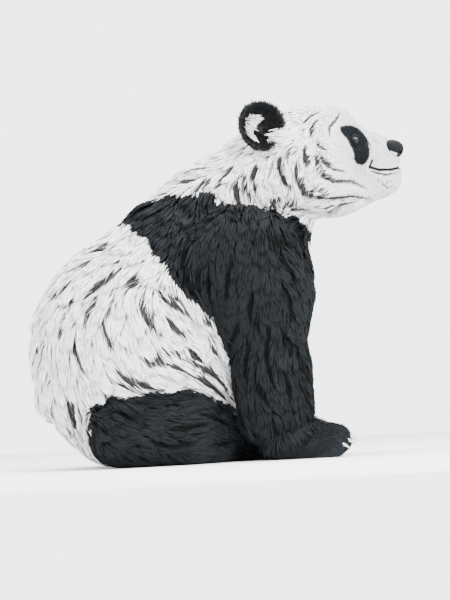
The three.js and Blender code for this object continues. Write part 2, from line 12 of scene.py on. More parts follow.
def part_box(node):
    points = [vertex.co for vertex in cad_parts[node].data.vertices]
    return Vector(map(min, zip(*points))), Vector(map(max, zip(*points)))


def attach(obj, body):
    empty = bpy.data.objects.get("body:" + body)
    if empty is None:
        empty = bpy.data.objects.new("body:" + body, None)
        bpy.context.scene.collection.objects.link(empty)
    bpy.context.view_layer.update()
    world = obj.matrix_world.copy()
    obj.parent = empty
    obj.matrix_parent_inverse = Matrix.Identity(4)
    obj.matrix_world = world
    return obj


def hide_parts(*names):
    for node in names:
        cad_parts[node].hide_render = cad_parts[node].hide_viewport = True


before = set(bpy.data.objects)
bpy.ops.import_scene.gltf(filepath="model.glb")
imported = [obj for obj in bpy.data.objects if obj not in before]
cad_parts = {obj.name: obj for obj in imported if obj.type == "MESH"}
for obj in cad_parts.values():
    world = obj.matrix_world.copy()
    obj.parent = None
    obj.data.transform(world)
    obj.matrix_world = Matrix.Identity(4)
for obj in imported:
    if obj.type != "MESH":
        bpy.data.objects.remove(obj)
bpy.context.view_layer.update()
bpy.ops.object.select_all(action="DESELECT")

# Masses of the body out to the tips of the coat: middle and half sizes. Those of the limbs and
# the cheek are for the left side, and the right side is folded over onto it.
trunk = {
    "rump": ((-0.205, 0, 0.292), (0.283, 0.285, 0.302)),
    "back": ((-0.075, 0, 0.465), (0.230, 0.215, 0.226)),
    "withers": ((0.005, 0, 0.605), (0.165, 0.145, 0.170)),
    "chest": ((0.085, 0, 0.440), (0.160, 0.185, 0.205)),
    "dewlap": ((0.165, 0, 0.600), (0.078, 0.100, 0.088)),
    "neck": ((0.135, 0, 0.706), (0.145, 0.138, 0.140)),
}
skull = {
    "cranium": ((0.240, 0, 0.775), (0.148, 0.132, 0.120)),
    "brow": ((0.305, 0, 0.816), (0.071, 0.088, 0.078)),
    "cheek": ((0.258, 0.072, 0.728), (0.102, 0.084, 0.098)),
    "throat": ((0.298, 0, 0.668), (0.100, 0.092, 0.063)),
    "bridge": ((0.375, 0, 0.783), (0.060, 0.048, 0.042)),
    "muzzle": ((0.415, 0, 0.760), (0.068, 0.055, 0.048)),
    "jaw": ((0.405, 0, 0.700), (0.076, 0.049, 0.055)),
}
arm = {
    "shoulder": ((0.075, 0.165, 0.500), (0.140, 0.088, 0.150)),
    "upper": ((0.105, 0.172, 0.385), (0.128, 0.080, 0.150)),
    "fore": ((0.125, 0.172, 0.215), (0.104, 0.074, 0.150)),
    "cuff": ((0.132, 0.172, 0.118), (0.096, 0.068, 0.084)),
}
leg = {
    "thigh": ((-0.215, 0.190, 0.093), (0.143, 0.108, 0.102)),
    "knee": ((-0.105, 0.200, 0.094), (0.090, 0.092, 0.101)),
    "shin": ((-0.045, 0.140, 0.070), (0.072, 0.070, 0.078)),
    "ankle": ((-0.005, 0.082, 0.058), (0.052, 0.048, 0.066)),
}
forepaw = {
    "palm": ((0.210, 0.175, 0.041), (0.100, 0.060, 0.052)),
    "heel": ((0.150, 0.175, 0.030), (0.054, 0.054, 0.036)),
}
hindfoot = {"sole": ((0.072, 0.058, 0.034), (0.092, 0.042, 0.042))}
tail = {"dock": ((-0.443, 0, 0.182), (0.026, 0.040, 0.056))}
foreToes = {"reach": 0.285, "spread": 0.023, "half": (0.042, 0.0147, 0.036), "middle": 0.175, "skew": 0.0035,
            "tilt": 0.0055, "bow": 0.0034, "arc": 0.0016, "blunt": 0.006, "sole": 0.007, "close": 0.96}
hindToes = {"reach": 0.148, "spread": 0.016, "half": (0.026, 0.0105, 0.018), "middle": 0.058, "skew": 0.0,
            "tilt": 0.0015, "bow": 0.0034, "arc": 0.0022, "blunt": 0.006, "sole": 0.007, "close": 0.96}
# Limbs and tail: how their masses blend, how they join the skin, how deep the coat is laid over
# them and how far in their first balls lie.
limbs = {
    "arm": {"masses": arm, "blend": 0.036, "join": 0.030, "coat": 0.010, "inset": 0.010},
    "leg": {"masses": leg, "blend": 0.036, "join": 0.022, "coat": 0.010, "inset": 0.010},
    "forepaw": {"masses": forepaw, "blend": 0.016, "join": 0.014, "coat": 0.004, "inset": 0.003},
    "hindfoot": {"masses": hindfoot, "blend": 0.016, "join": 0.012, "coat": 0.004, "inset": 0.003},
    "tail": {"masses": tail, "blend": 0.007, "join": 0.020, "coat": 0.006, "inset": 0.004},
}
bodySettings = {"trunkBlend": 0.046, "headBlend": 0.034, "toeBlend": 0.007, "coat": 0.015, "faceCoat": 0.002,
                "faceFrom": 0.110, "faceOver": 0.210, "trunkInset": 0.014, "headInset": 0.004}
faceMiddle = np.array((0.400, 0, 0.770))


def addToes(paw, toes):
    for n in (-2, -1, 0, 1, 2):
        height = toes["half"][2] + toes["sole"] - toes["arc"] * n * n - toes["tilt"] * n
        front = toes["reach"] - toes["blunt"] - toes["bow"] * n * n - toes["skew"] * n
        across = toes["middle"] + toes["close"] * n * toes["spread"]
        paw["toe%d" % (n + 3)] = ((front, across, height), toes["half"])


addToes(forepaw, foreToes)
addToes(hindfoot, hindToes)


def smoothStep(t):
    c = np.clip(t, 0.0, 1.0)
    return c * c * (3.0 - 2.0 * c)


def softUnion(a, b, width):
    share = np.maximum(width - np.abs(a - b), 0.0) / width
    return np.minimum(a, b) - share * share * width * 0.25


def massDistance(mass, points):
    offset = points - np.array(mass[0])
    scaled = offset / np.array(mass[1])
    size = np.sqrt(np.einsum("ij,ij->i", scaled, scaled))
    scaled /= np.array(mass[1])
    slope = np.sqrt(np.einsum("ij,ij->i", scaled, scaled))
    return size * (size - 1.0) / np.maximum(slope, 1e-6)


def groupDistance(masses, points, width):
    distance = None
    for name, mass in masses.items():
        each = massDistance(mass, points)
        join = bodySettings["toeBlend"] if name.startswith("toe") else width
        distance = each if distance is None else softUnion(distance, each, join)
    return distance


def folded(points):
    out = points.copy()
    out[:, 1] = np.abs(out[:, 1])
    return out


def bodyDistance(points):
    half = folded(points)
    head = groupDistance(skull, half, bodySettings["headBlend"])
    return softUnion(groupDistance(trunk, half, bodySettings["trunkBlend"]), head, bodySettings["headBlend"])


def faceAway(points):
    return np.linalg.norm(points - faceMiddle, axis=1)


def partDistances(points):
    half = folded(points)
    parts = {"body": bodyDistance(points)}
    for name, limb in limbs.items():
        parts[name] = groupDistance(limb["masses"], half, limb["blend"])
    return parts


def depthsAt(points):
    loft = smoothStep((points[:, 2] - 0.008) / 0.072)       # the weight presses the coat flat below
    face = smoothStep((faceAway(points) - bodySettings["faceFrom"]) / bodySettings["faceOver"])
    depths = {"body": np.maximum(bodySettings["coat"] * loft * face, bodySettings["faceCoat"] * loft)}
    for name, limb in limbs.items():
        depths[name] = limb["coat"] * loft
    return depths


def skinDistance(points):
    parts, depths = partDistances(points), depthsAt(points)
    distance = parts["body"] + depths["body"]
    for name, limb in limbs.items():
        distance = softUnion(distance, parts[name] + depths[name], limb["join"])
    return distance


def slopeOf(distanceAt, points, step=0.0006):
    corners = ((1, 1, 1), (1, -1, -1), (-1, 1, -1), (-1, -1, 1))
    slope = np.zeros_like(points)
    for corner in corners:
        way = np.array(corner, float)
        slope += distanceAt(points + way * step)[:, None] * way
    return slope / (4.0 * step)


def unit(vectors):
    return vectors / np.maximum(np.linalg.norm(vectors, axis=-1, keepdims=True), 1e-9)


def settled(distanceAt, points, rounds):
    for _ in range(rounds):
        slope = slopeOf(distanceAt, points)
        steep = np.maximum(np.einsum("ij,ij->i", slope, slope), 0.05)
        points = points - slope * (distanceAt(points) / steep)[:, None]
    return points


def lastInside(inside, outside, spotAt):
    for _ in range(26):                                     # halves the way to the body's surface
        middle = (inside + outside) / 2
        if bodyDistance(np.array([spotAt(middle)]))[0] < 0:
            inside = middle
        else:
            outside = middle
    return np.array(spotAt(inside))


def onSide(x, z):
    return lastInside(0.0, 0.30, lambda y: (x, y, z))


def onFront(y, z):
    return lastInside(0.40, 0.53, lambda x: (x, y, z))


def metres(line):
    return np.array(line, float).reshape(-1, 2) / 1000


def mirrorOf(points):
    return np.where(points[:, 1:2] < 0, (1.0, -1.0, 1.0), (1.0, 1.0, 1.0))


# Eyes, from the frame: what the masses put at the eye's place lies over the frame's own eye.
eye = {"x": 0.368, "z": 0.803, "sunk": 0.006, "deep": 0.0105, "radius": 0.0160, "halfLong": 0.0118,
       "halfHigh": 0.0078, "lid": 0.0022, "bow": 0.25, "hollow": 0.0035, "crease": 0.0012,
       "gaze": (0.10, 0, 0.02)}
eyeSpot = onSide(eye["x"], eye["z"])
eyeOut = unit(slopeOf(bodyDistance, eyeSpot[None, :]))[0]
eyeMiddle = eyeSpot - eyeOut * eye["sunk"]
eyeForwards = np.array((1.0, 0.0, -0.35))
eyeForwards = unit(eyeForwards - eyeOut * (eyeForwards @ eyeOut))
eyeUp = np.cross(eyeForwards, eyeOut)
eyeUp = eyeUp if eyeUp[2] > 0 else -eyeUp
leftLow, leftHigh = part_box("eye_left")
rightLow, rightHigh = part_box("eye_right")
frameEye = (leftLow + leftHigh + rightLow + rightHigh) / 4
shift = Vector((frameEye.x - eyeMiddle[0], frameEye.y, frameEye.z - eyeMiddle[2]))
eyeMiddle = eyeSpot - eyeOut * eye["deep"]
print("panda: frame shift", [round(v, 5) for v in shift])


def place(piece):
    piece.data.transform(Matrix.Translation(shift))
    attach(piece, "root")


def choose(*pieces):
    bpy.ops.object.select_all(action="DESELECT")
    for piece in pieces:
        piece.select_set(True)
    bpy.context.view_layer.objects.active = pieces[0]


def editAll(piece):
    choose(piece)
    bpy.ops.object.mode_set(mode="EDIT")
    bpy.ops.mesh.select_all(action="SELECT")


def closeOutwards():
    bpy.ops.mesh.select_all(action="SELECT")
    bpy.ops.mesh.normals_make_consistent(inside=False)
    bpy.ops.object.mode_set(mode="OBJECT")


def addSphere(segments, rings, at=(0, 0, 0), radius=1.0, turn=(0, 0, 0), size=(1, 1, 1)):
    bpy.ops.object.select_all(action="DESELECT")
    bpy.ops.mesh.primitive_uv_sphere_add(segments=segments, ring_count=rings, radius=radius, location=at,
                                         rotation=turn)
    sphere = bpy.context.object
    sphere.scale = size
    return sphere


def applyModifier(piece, kind, **settings):
    choose(piece)
    modifier = piece.modifiers.new(kind.title(), kind)
    for key, value in settings.items():
        setattr(modifier, key, value)
    bpy.ops.object.modifier_apply(modifier=modifier.name)


def pointsOf(mesh, what="co"):
    flat = np.empty(len(mesh.vertices) * 3, np.float32)
    mesh.vertices.foreach_get(what, flat)
    return flat.reshape(-1, 3).astype(float)


def setPoints(mesh, points):
    mesh.vertices.foreach_set("co", points.astype(np.float32).ravel())
    mesh.update()


def smoothFaces(mesh):
    mesh.polygons.foreach_set("use_smooth", np.ones(len(mesh.polygons), bool))


def writeAttribute(mesh, name, values):
    kind, entry = ("FLOAT", "value") if values.ndim == 1 else ("FLOAT_VECTOR", "vector")
    layer = mesh.attributes.new(name, kind, "POINT")
    layer.data.foreach_set(entry, values.astype(np.float32).ravel())


# Folds of the skin on head and neck, and the mouth, as lines on the side.
folds = {
    "brow": {"deep": 0.0030, "wide": 0.0055, "line": (332, 873, 321, 855, 303, 838, 302, 814)},
    "crown": {"deep": 0.0035, "wide": 0.006, "line": (277, 876, 255, 868, 230, 843)},
    "temple": {"deep": 0.003, "wide": 0.006, "line": (271, 856, 258, 838, 255, 817, 260, 798)},
    "underEye": {"deep": 0.003, "wide": 0.006, "line": (273, 774, 283, 754, 306, 729, 340, 721)},
    "cheek": {"deep": 0.0060, "wide": 0.008, "line": (261, 769, 266, 736, 281, 712, 308, 697, 354, 696,
                                                      389, 676)},
    "jowl": {"deep": 0.0080, "wide": 0.010, "line": (210, 743, 213, 705, 229, 673, 262, 657, 305, 653,
                                                     355, 657, 398, 648)},
    "earFold": {"deep": 0.004, "wide": 0.008, "line": (208, 813, 193, 789, 191, 754)},
    "midCheek": {"deep": 0.004, "wide": 0.008, "line": (237, 793, 234, 769, 237, 747, 250, 726)},
    "backCheek": {"deep": 0.006, "wide": 0.010, "line": (166, 769, 171, 728, 184, 697, 213, 667)},
    "throat": {"deep": 0.008, "wide": 0.010, "line": (165, 655, 199, 631, 242, 621, 291, 617, 323, 637,
                                                      361, 644)},
    "underLip": {"deep": 0.0046, "wide": 0.0042, "line": (398, 727.5, 404, 721.5, 415, 715.5, 441, 708.5,
                                                          463, 712, 478, 720)},
    "chin": {"deep": 0.0020, "wide": 0.0036, "line": (417, 700, 426, 689, 440, 678, 455, 677, 466, 684)},
    "bridge": {"deep": 0.0016, "wide": 0.0036, "line": (413, 799, 430, 790, 447, 782)},
    "besideEye": {"deep": 0.0016, "wide": 0.0034, "line": (396, 800, 405, 787, 409, 773)},
    "napeFront": {"deep": 0.005, "wide": 0.010, "line": (105, 754, 99, 726, 103, 698, 109, 680)},
    "napeBack": {"deep": 0.006, "wide": 0.011, "line": (54, 710, 53, 679, 64, 654, 76, 642)},
}
mouth = {"line": (401, 730, 424, 722, 456, 721, 474, 725), "front": 0.727, "corner": (400, 729, 408, 747),
         "groove": 0.0064, "narrow": 0.0032, "lip": 0.0030, "bare": 0.0038, "open": 0.0036}
nosePad = {"at": (0.4640, 0, 0.7745), "half": (0.0262, 0.0345, 0.0228), "tilt": 0.36, "taper": 0.45,
           "wing": (449, 764, 456, 769, 464, 765.5, 473, 762, 470, 756, 477, 750.5, 468, 749, 458, 752,
                    451, 758),
           "holes": ({"at": (0.4895, 0.0135, 0.769), "turn": (0, 0.5, -0.35), "size": (0.01, 0.0064, 0.006)},
                     {"at": (0.4825, 0.0235, 0.7645), "turn": (0, 0.2, 0.6), "size": (0.01, 0.008, 0.0032)}),
           "square": 2.4, "shrink": 0.985, "flare": 0.10, "groove": 0.0016, "grooveWide": 0.0014,
           "wingFrom": 0.012}


def sideLine(line):
    return np.array([onSide(x, z) for x, z in metres(line)])


def lineDistance(points, line):
    nearest = np.full(len(points), 1e3)
    along = np.zeros(len(points))
    for n in range(len(line) - 1):
        start, step = line[n], line[n + 1] - line[n]
        t = np.clip(((points - start) @ step) / max(step @ step, 1e-12), 0.0, 1.0)
        away = np.linalg.norm(points - start - t[:, None] * step, axis=1)
        closer = away < nearest
        nearest[closer] = away[closer]
        along[closer] = (n + t[closer]) / (len(line) - 1)
    return nearest, along


mouthSide = sideLine(mouth["line"])
_, lastY, lastZ = mouthSide[-1]
mouthFront = [onFront(lastY * part, lastZ + (mouth["front"] - lastZ) * (1 - part))
              for part in (0.75, 0.5, 0.25, 0.0)]
mouthPath = np.vstack([mouthSide, mouthFront])
mouthCorner = sideLine(mouth["corner"])
for fold in folds.values():
    fold["path"] = sideLine(fold["line"])


def tilted(offset, angle):
    c, s = math.cos(angle), math.sin(angle)
    x, y, z = offset.T
    return np.stack([x * c + z * s, y, -x * s + z * c], axis=1)


def noseNear(points):
    turned = tilted(points - np.array(nosePad["at"]), -nosePad["tilt"])
    return np.linalg.norm(turned / np.array(nosePad["half"]), axis=1)


def mouthAway(half):
    return lineDistance(half, mouthPath)[0], lineDistance(half, mouthCorner)[0]


def bell(away, width):
    return np.exp(-(away / width) ** 2)


def foldEnds(along, start):
    return np.sin(np.pi * np.clip(start + 0.9 * along, 0, 1)) ** 0.6


def foldShade(points):
    half = folded(points)                                   # 1 in the bottom of a fold, 0 away from it
    shade = np.zeros(len(points))
    for fold in folds.values():
        away, along = lineDistance(half, fold["path"])
        strength = min(fold["deep"] / 0.006, 1.0)
        shade = np.maximum(shade, foldEnds(along, 0.08) * bell(away, fold["wide"] * 0.55) * strength)
    return shade


# Relief of the face: lips and mouth corner, the line under the nose, its bed and the hollow beside it.
relief = {"bank": 0.45, "bankAway": 1.9, "upperLip": (0.0065, 0.0042), "lowerLip": (0.0055, 0.0036),
          "cornerWide": 0.0024, "underNose": 0.0018, "underNoseWide": 0.0016, "noseBed": 0.014,
          "beside": 0.007}


def faceRelief(points):
    half = folded(points)
    x, y, z = half.T
    rise = np.zeros(len(points))
    for fold in folds.values():
        away, along = lineDistance(half, fold["path"])
        ends, deep, wide = foldEnds(along, 0.05), fold["deep"], fold["wide"]
        rise -= deep * ends * bell(away, wide)
        rise += relief["bank"] * deep * ends * bell(away - relief["bankAway"] * wide, wide)
    away, along = lineDistance(half, mouthPath)
    above = smoothStep((z - np.interp(x, mouthPath[:, 0], mouthPath[:, 2])) / 0.004 + 0.5)
    (upper, upperWide), (lower, lowerWide) = relief["upperLip"], relief["lowerLip"]
    rise -= mouth["groove"] * bell(away, mouth["narrow"])
    rise += mouth["lip"] * smoothStep(along * 6.0) * (0.8 * above * bell(away - upper, upperWide)
                                                      + (1 - above) * bell(away - lower, lowerWide))
    away, along = lineDistance(half, mouthCorner)
    rise -= 0.6 * mouth["groove"] * bell(away, relief["cornerWide"]) * (1 - 0.6 * along)
    line = bell(y, relief["underNoseWide"]) * smoothStep((x - 0.468) / 0.01)
    rise -= relief["underNose"] * line * smoothStep((z - 0.727) / 0.004) * smoothStep((0.768 - z) / 0.006)
    rise -= relief["noseBed"] * smoothStep((1.26 - noseNear(points)) / 0.36)
    beside = smoothStep((x - 0.425) / 0.030) * smoothStep((y - 0.010) / 0.014)
    rise -= relief["beside"] * beside * smoothStep((z - 0.744) / 0.014)
    return rise


def eyeFrame(points):
    offset = folded(points) - eyeMiddle
    return offset @ eyeForwards, offset @ eyeUp, offset @ eyeOut


def eyeRing(points):
    along, high, out = eyeFrame(points)                     # 1 on the edge of the lids
    bow = np.clip(1.0 - eye["bow"] * (along / eye["halfLong"]) ** 2, 0.3, 1.0)
    ring = np.sqrt((along / eye["halfLong"]) ** 2 + (high / (eye["halfHigh"] * bow)) ** 2)
    return np.where(np.abs(out) < 0.03, ring, 99.0)


def shapeLids(points):
    along, high, out = eyeFrame(points)
    near = (np.hypot(along, high) < 0.034) & (np.abs(out) < 0.03)
    a, b, w = along[near], high[near], out[near]
    ring = eyeRing(points[near])
    ball = np.sqrt(np.maximum(eye["radius"] ** 2 - a * a - b * b, 0.0))
    lidTop = np.maximum(ball + eye["lid"] * (1.0 + 0.35 * (b > 0)), w - 0.0015)
    lidTop = lidTop - eye["crease"] * bell(ring - 2.0, 0.22) * (b > 0)
    blend = smoothStep((ring - 1.55) / 1.5)
    level = lidTop * (1 - blend) + w * blend
    hole = smoothStep((1.02 - ring) / 0.16)
    level = level * (1 - hole) + np.minimum(ball - eye["hollow"], level) * hole
    moved = points.copy()
    moved[near] += eyeOut * mirrorOf(points[near]) * (level - w)[:, None]
    return moved


# Skin: balls for the masses, remeshed as one body and drawn onto the level of the coat's roots.
skinSettings = {"voxel": 0.0078, "floor": 0.0006, "facePatch": 0.155, "mouthPatch": 0.016, "eyePatch": 0.030,
                "nosePatch": 1.45, "lidPatch": 0.024, "thinnest": 0.006}


def makeSkin():
    balls = []
    groups = [(trunk, bodySettings["trunkInset"]), (skull, bodySettings["headInset"])]
    groups += [(limb["masses"], limb["inset"]) for limb in limbs.values()]
    for masses, inset in groups:
        for (x, y, z), half in masses.values():
            inner = [max(size - inset, skinSettings["thinnest"]) for size in half]
            balls += [addSphere(36, 22, (x, y * side, z), size=inner) for side in ((1, -1) if y else (1,))]
    choose(*balls)
    bpy.ops.object.join()
    body = bpy.context.object
    body.name = body.data.name = "skin"
    bpy.ops.object.transform_apply(location=True, rotation=True, scale=True)
    applyModifier(body, "REMESH", mode="VOXEL", voxel_size=skinSettings["voxel"], use_smooth_shade=True)
    setPoints(body.data, settled(skinDistance, pointsOf(body.data), 6))
    return body


def subdivideWhere(body, test):
    corners = pointsOf(body.data)
    middles = np.array([corners[list(face.vertices)].mean(axis=0) for face in body.data.polygons])
    editAll(body)
    bpy.ops.mesh.select_mode(type="FACE")
    bpy.ops.mesh.select_all(action="DESELECT")
    bpy.ops.object.mode_set(mode="OBJECT")
    body.data.polygons.foreach_set("select", test(middles))
    bpy.ops.object.mode_set(mode="EDIT")
    bpy.ops.mesh.subdivide(number_cuts=1, quadcorner="INNERVERT")
    bpy.ops.object.mode_set(mode="OBJECT")
    setPoints(body.data, settled(skinDistance, pointsOf(body.data), 2))


def nearFace(points):
    return faceAway(points) < skinSettings["facePatch"]


def nearFeatures(points):
    half = folded(points)
    nearMouth = np.minimum(*mouthAway(half)) < skinSettings["mouthPatch"]
    nearEye = np.linalg.norm(half - eyeMiddle, axis=1) < skinSettings["eyePatch"]
    return nearMouth | nearEye | (noseNear(points) < skinSettings["nosePatch"])


def nearLids(points):
    return np.linalg.norm(folded(points) - eyeMiddle, axis=1) < skinSettings["lidPatch"]


skin = makeSkin()
for test in (nearFace, nearFeatures, nearLids):
    subdivideWhere(skin, test)
basePoints = pointsOf(skin.data)
baseNormals = unit(slopeOf(skinDistance, basePoints))
shaped = shapeLids(basePoints + baseNormals * faceRelief(basePoints)[:, None])
shaped[:, 2] = np.maximum(shaped[:, 2], skinSettings["floor"])
setPoints(skin.data, shaped)
smoothFaces(skin.data)
print("panda: skin", len(skin.data.vertices), "points")

# Ears: a lathe-like dish spun in edit mode, turned outwards and a little forwards.
ear = {"at": (0.126, 0.112, 0.847), "turn": 0.42, "lean": 0.12, "steps": 88, "wave": 0.02, "rimPaintedLight": 0.4614,
       "fromHead": (-0.25, 0.25, 0.52), "crescentLie": (0.85, 0.55, -0.10), "crescentLength": 0.017,
       "cheekTuft": (0.196, 0.104, 0.818), "cheekReach": 0.034, "cheekLie": (-0.95, 0.42, 0.10),
       "cheekLength": 0.050, "cheekLift": 0.019, "lift": 0.004, "crescentLift": 0.010, "radius": 0.0625,
       "cup": 0.050, "cupShadeReach": 0.047,
       "profile": ((0.0, -0.0125), (0.025, -0.0110), (0.045, -0.0035), (0.0535, 0.0045), (0.0560, 0.0105),
                   (0.0530, 0.0135), (0.0470, 0.0085), (0.0360, -0.0010), (0.0180, -0.0048), (0.0, -0.0058))}
level = math.cos(ear["lean"])
earOut = np.array((math.sin(ear["turn"]) * level, math.cos(ear["turn"]) * level, math.sin(ear["lean"])))
earUp = unit(np.array((0.0, 0.0, 1.0)) - earOut * earOut[2])
earFront = np.cross(earOut, earUp)
earFront = earFront if earFront[0] > 0 else -earFront


def earFrame(points):
    offset = folded(points) - np.array(ear["at"])
    return offset @ earFront, offset @ earUp, offset @ earOut


def rounded(profile):
    line = np.array(profile)                                # smoothed once, mirrored at the axis
    mirror = np.array((-1.0, 1.0))
    full = np.vstack([line[1] * mirror, line, line[-2] * mirror])
    smooth = np.empty((2 * len(line) - 1, 2))
    smooth[0::2] = (full[:-2] + 6 * full[1:-1] + full[2:]) / 8
    smooth[1::2] = (line[:-1] + line[1:]) / 2
    return smooth.tolist()


def makeEar(side):
    mesh = bpy.data.meshes.new("ear")
    corners = [(r, 0.0, a) for r, a in rounded(ear["profile"])]
    mesh.from_pydata(corners, [(n, n + 1) for n in range(len(corners) - 1)], [])
    dish = bpy.data.objects.new("ear", mesh)
    bpy.context.collection.objects.link(dish)
    editAll(dish)
    bpy.ops.mesh.spin(steps=ear["steps"], angle=2 * math.pi, center=(0, 0, 0), axis=(0, 0, 1))
    bpy.ops.mesh.select_all(action="SELECT")
    bpy.ops.mesh.remove_doubles(threshold=0.0001)
    closeOutwards()
    r, s, a = pointsOf(dish.data).T[:, :, None]
    wave = 1.0 + ear["wave"] * np.sin(3 * np.arctan2(s, r) + 0.6)
    turned = r * wave * earFront + s * wave * earUp + a * earOut
    setPoints(dish.data, (turned + np.array(ear["at"])) * np.array((1.0, side, 1.0)))
    editAll(dish)
    closeOutwards()
    return dish


def inOrder(body):
    spots = pointsOf(body.data)                             # the union numbers its points anew each run
    order = np.lexsort(spots.T)
    rank = np.empty(len(order), int)
    rank[order] = np.arange(len(order))
    faces = []
    for face in body.data.polygons:
        ring = [int(rank[corner]) for corner in face.vertices]
        start = ring.index(min(ring))
        faces.append(ring[start:] + ring[:start])
    mesh = bpy.data.meshes.new("skin")
    mesh.from_pydata(spots[order].tolist(), [], sorted(faces))
    body.data = mesh


for side in (-1, 1):
    dish = makeEar(side)
    applyModifier(skin, "BOOLEAN", operation="UNION", solver="MANIFOLD", object=dish)
    bpy.data.objects.remove(dish)
inOrder(skin)
editAll(skin)
bpy.ops.uv.smart_project(angle_limit=1.2, island_margin=0.002)
bpy.ops.object.mode_set(mode="OBJECT")
skin.data.uv_layers[0].name = "OFBake"
smoothFaces(skin.data)
print("panda: skin with ears", len(skin.data.vertices), "points,", len(skin.data.polygons), "faces")


# Markings, as outlines seen from the side: the band over the shoulders, the legs and the eye patch.
markings = {
    "band": (-200, 740, -161, 673, -130, 681, -100, 687, -59, 691, -31, 696, 0, 687, 30, 665, 47, 652,
             80, 645, 120, 641, 158, 640, 198, 624, 222, 607, 243, 588, 300, 572, 420, 556, 420, -50,
             46, -50, 50, 44, 36, 142, 24, 245, -4, 338, -46, 392, -84, 430, -113, 460, -145, 520,
             -182, 577, -226, 610, -258, 617, -278, 692),
    "eyePatch": (329, 834, 333, 839, 346, 841, 361, 839, 376, 832, 391, 815, 401, 794, 404, 775,
                 400, 754, 392, 739, 379, 735, 367, 740, 361, 753, 361, 765, 356, 781, 347, 799,
                 337, 815, 330, 826),
    "legTop": (-480, 106, -348, 156, -332, 186, -318, 194, -262, 184, -205, 190, -163, 207, -120, 206,
               -42, 176, 24, 146, 80, 126),
    "crescent": (114, 878, 102, 874, 91, 866, 87, 852, 87, 838, 92, 825, 101, 816, 112, 812, 104, 825,
                 100, 838, 102, 848, 110, 856, 118, 864, 124, 870),
}


def insideOf(outline, x, z):
    corners = metres(outline)                               # distance to the outline, above 0 inside
    nearest = np.full(len(x), 1e3)
    inside = np.zeros(len(x), bool)
    for n in range(len(corners)):
        (ax, az), (bx, bz) = corners[n], corners[(n + 1) % len(corners)]
        ex, ez = bx - ax, bz - az
        t = np.clip(((x - ax) * ex + (z - az) * ez) / (ex * ex + ez * ez), 0.0, 1.0)
        nearest = np.minimum(nearest, np.hypot(x - ax - t * ex, z - az - t * ez))
        crosses = (az > z) != (bz > z)
        inside ^= crosses & (x < ax + (z - az) * ex / (ez if abs(ez) > 1e-9 else 1e-9))
    return np.where(inside, nearest, -nearest)


def ripple(points, size, seed):
    draw = np.random.default_rng(seed)                      # a smooth swaying number from -1 to 1
    total = np.zeros(len(points))
    for n in range(4):
        way = unit(draw.normal(size=3)) * (2 * math.pi / size) * draw.uniform(0.7, 1.5)
        total += np.sin(points @ way + draw.uniform(0, 6.28))
    return np.clip(total / 2.6, -1.0, 1.0)


def onEar(points):
    front, up, out = earFrame(points)
    proud = bodyDistance(points) + depthsAt(points)["body"] > 0.0015
    return (np.hypot(front, up) < ear["radius"]) & (np.abs(out) < 0.020) & proud


def blackness(points, parts):
    x, _, z = folded(points).T
    jag = 0.006 * ripple(points, 0.035, 31) + 0.004 * ripple(points, 0.014, 32)
    band = insideOf(markings["band"], x, z) + jag
    trunkOrLeg = np.minimum(parts["body"], parts["leg"])
    owned = trunkOrLeg - np.minimum(parts["arm"], parts["forepaw"]) + 0.006
    band = np.maximum(band, np.where(z < 0.6, owned, np.where(z < 0.69, owned - 0.014, -1.0)))
    underLine = np.interp(x, *metres(markings["legTop"]).T) - z + jag
    onLeg = np.minimum(parts["body"] - parts["leg"] + 0.022, underLine)
    onLeg = np.minimum(onLeg, (x + 0.350) * 0.8 + jag)
    foot = np.where(z < 0.14, trunkOrLeg - parts["hindfoot"] + 0.01, -1.0)
    patch = np.where((z > 0.66) & (x > 0.30), insideOf(markings["eyePatch"], x, z) + 0.15 * jag, -1.0)
    return np.maximum.reduce([band, onLeg, foot, patch])


def toneAt(points, parts, ears, soft=0.003):
    tone = 1.0 - smoothStep(blackness(points, parts) / (2 * soft) + 0.5)
    return np.where(ears, 0.0, tone)


def toneField(points):
    black = blackness(points, partDistances(points))
    return np.clip(0.5 - black / 0.04, 0.0, 1.0)            # crosses 0.5 on the line


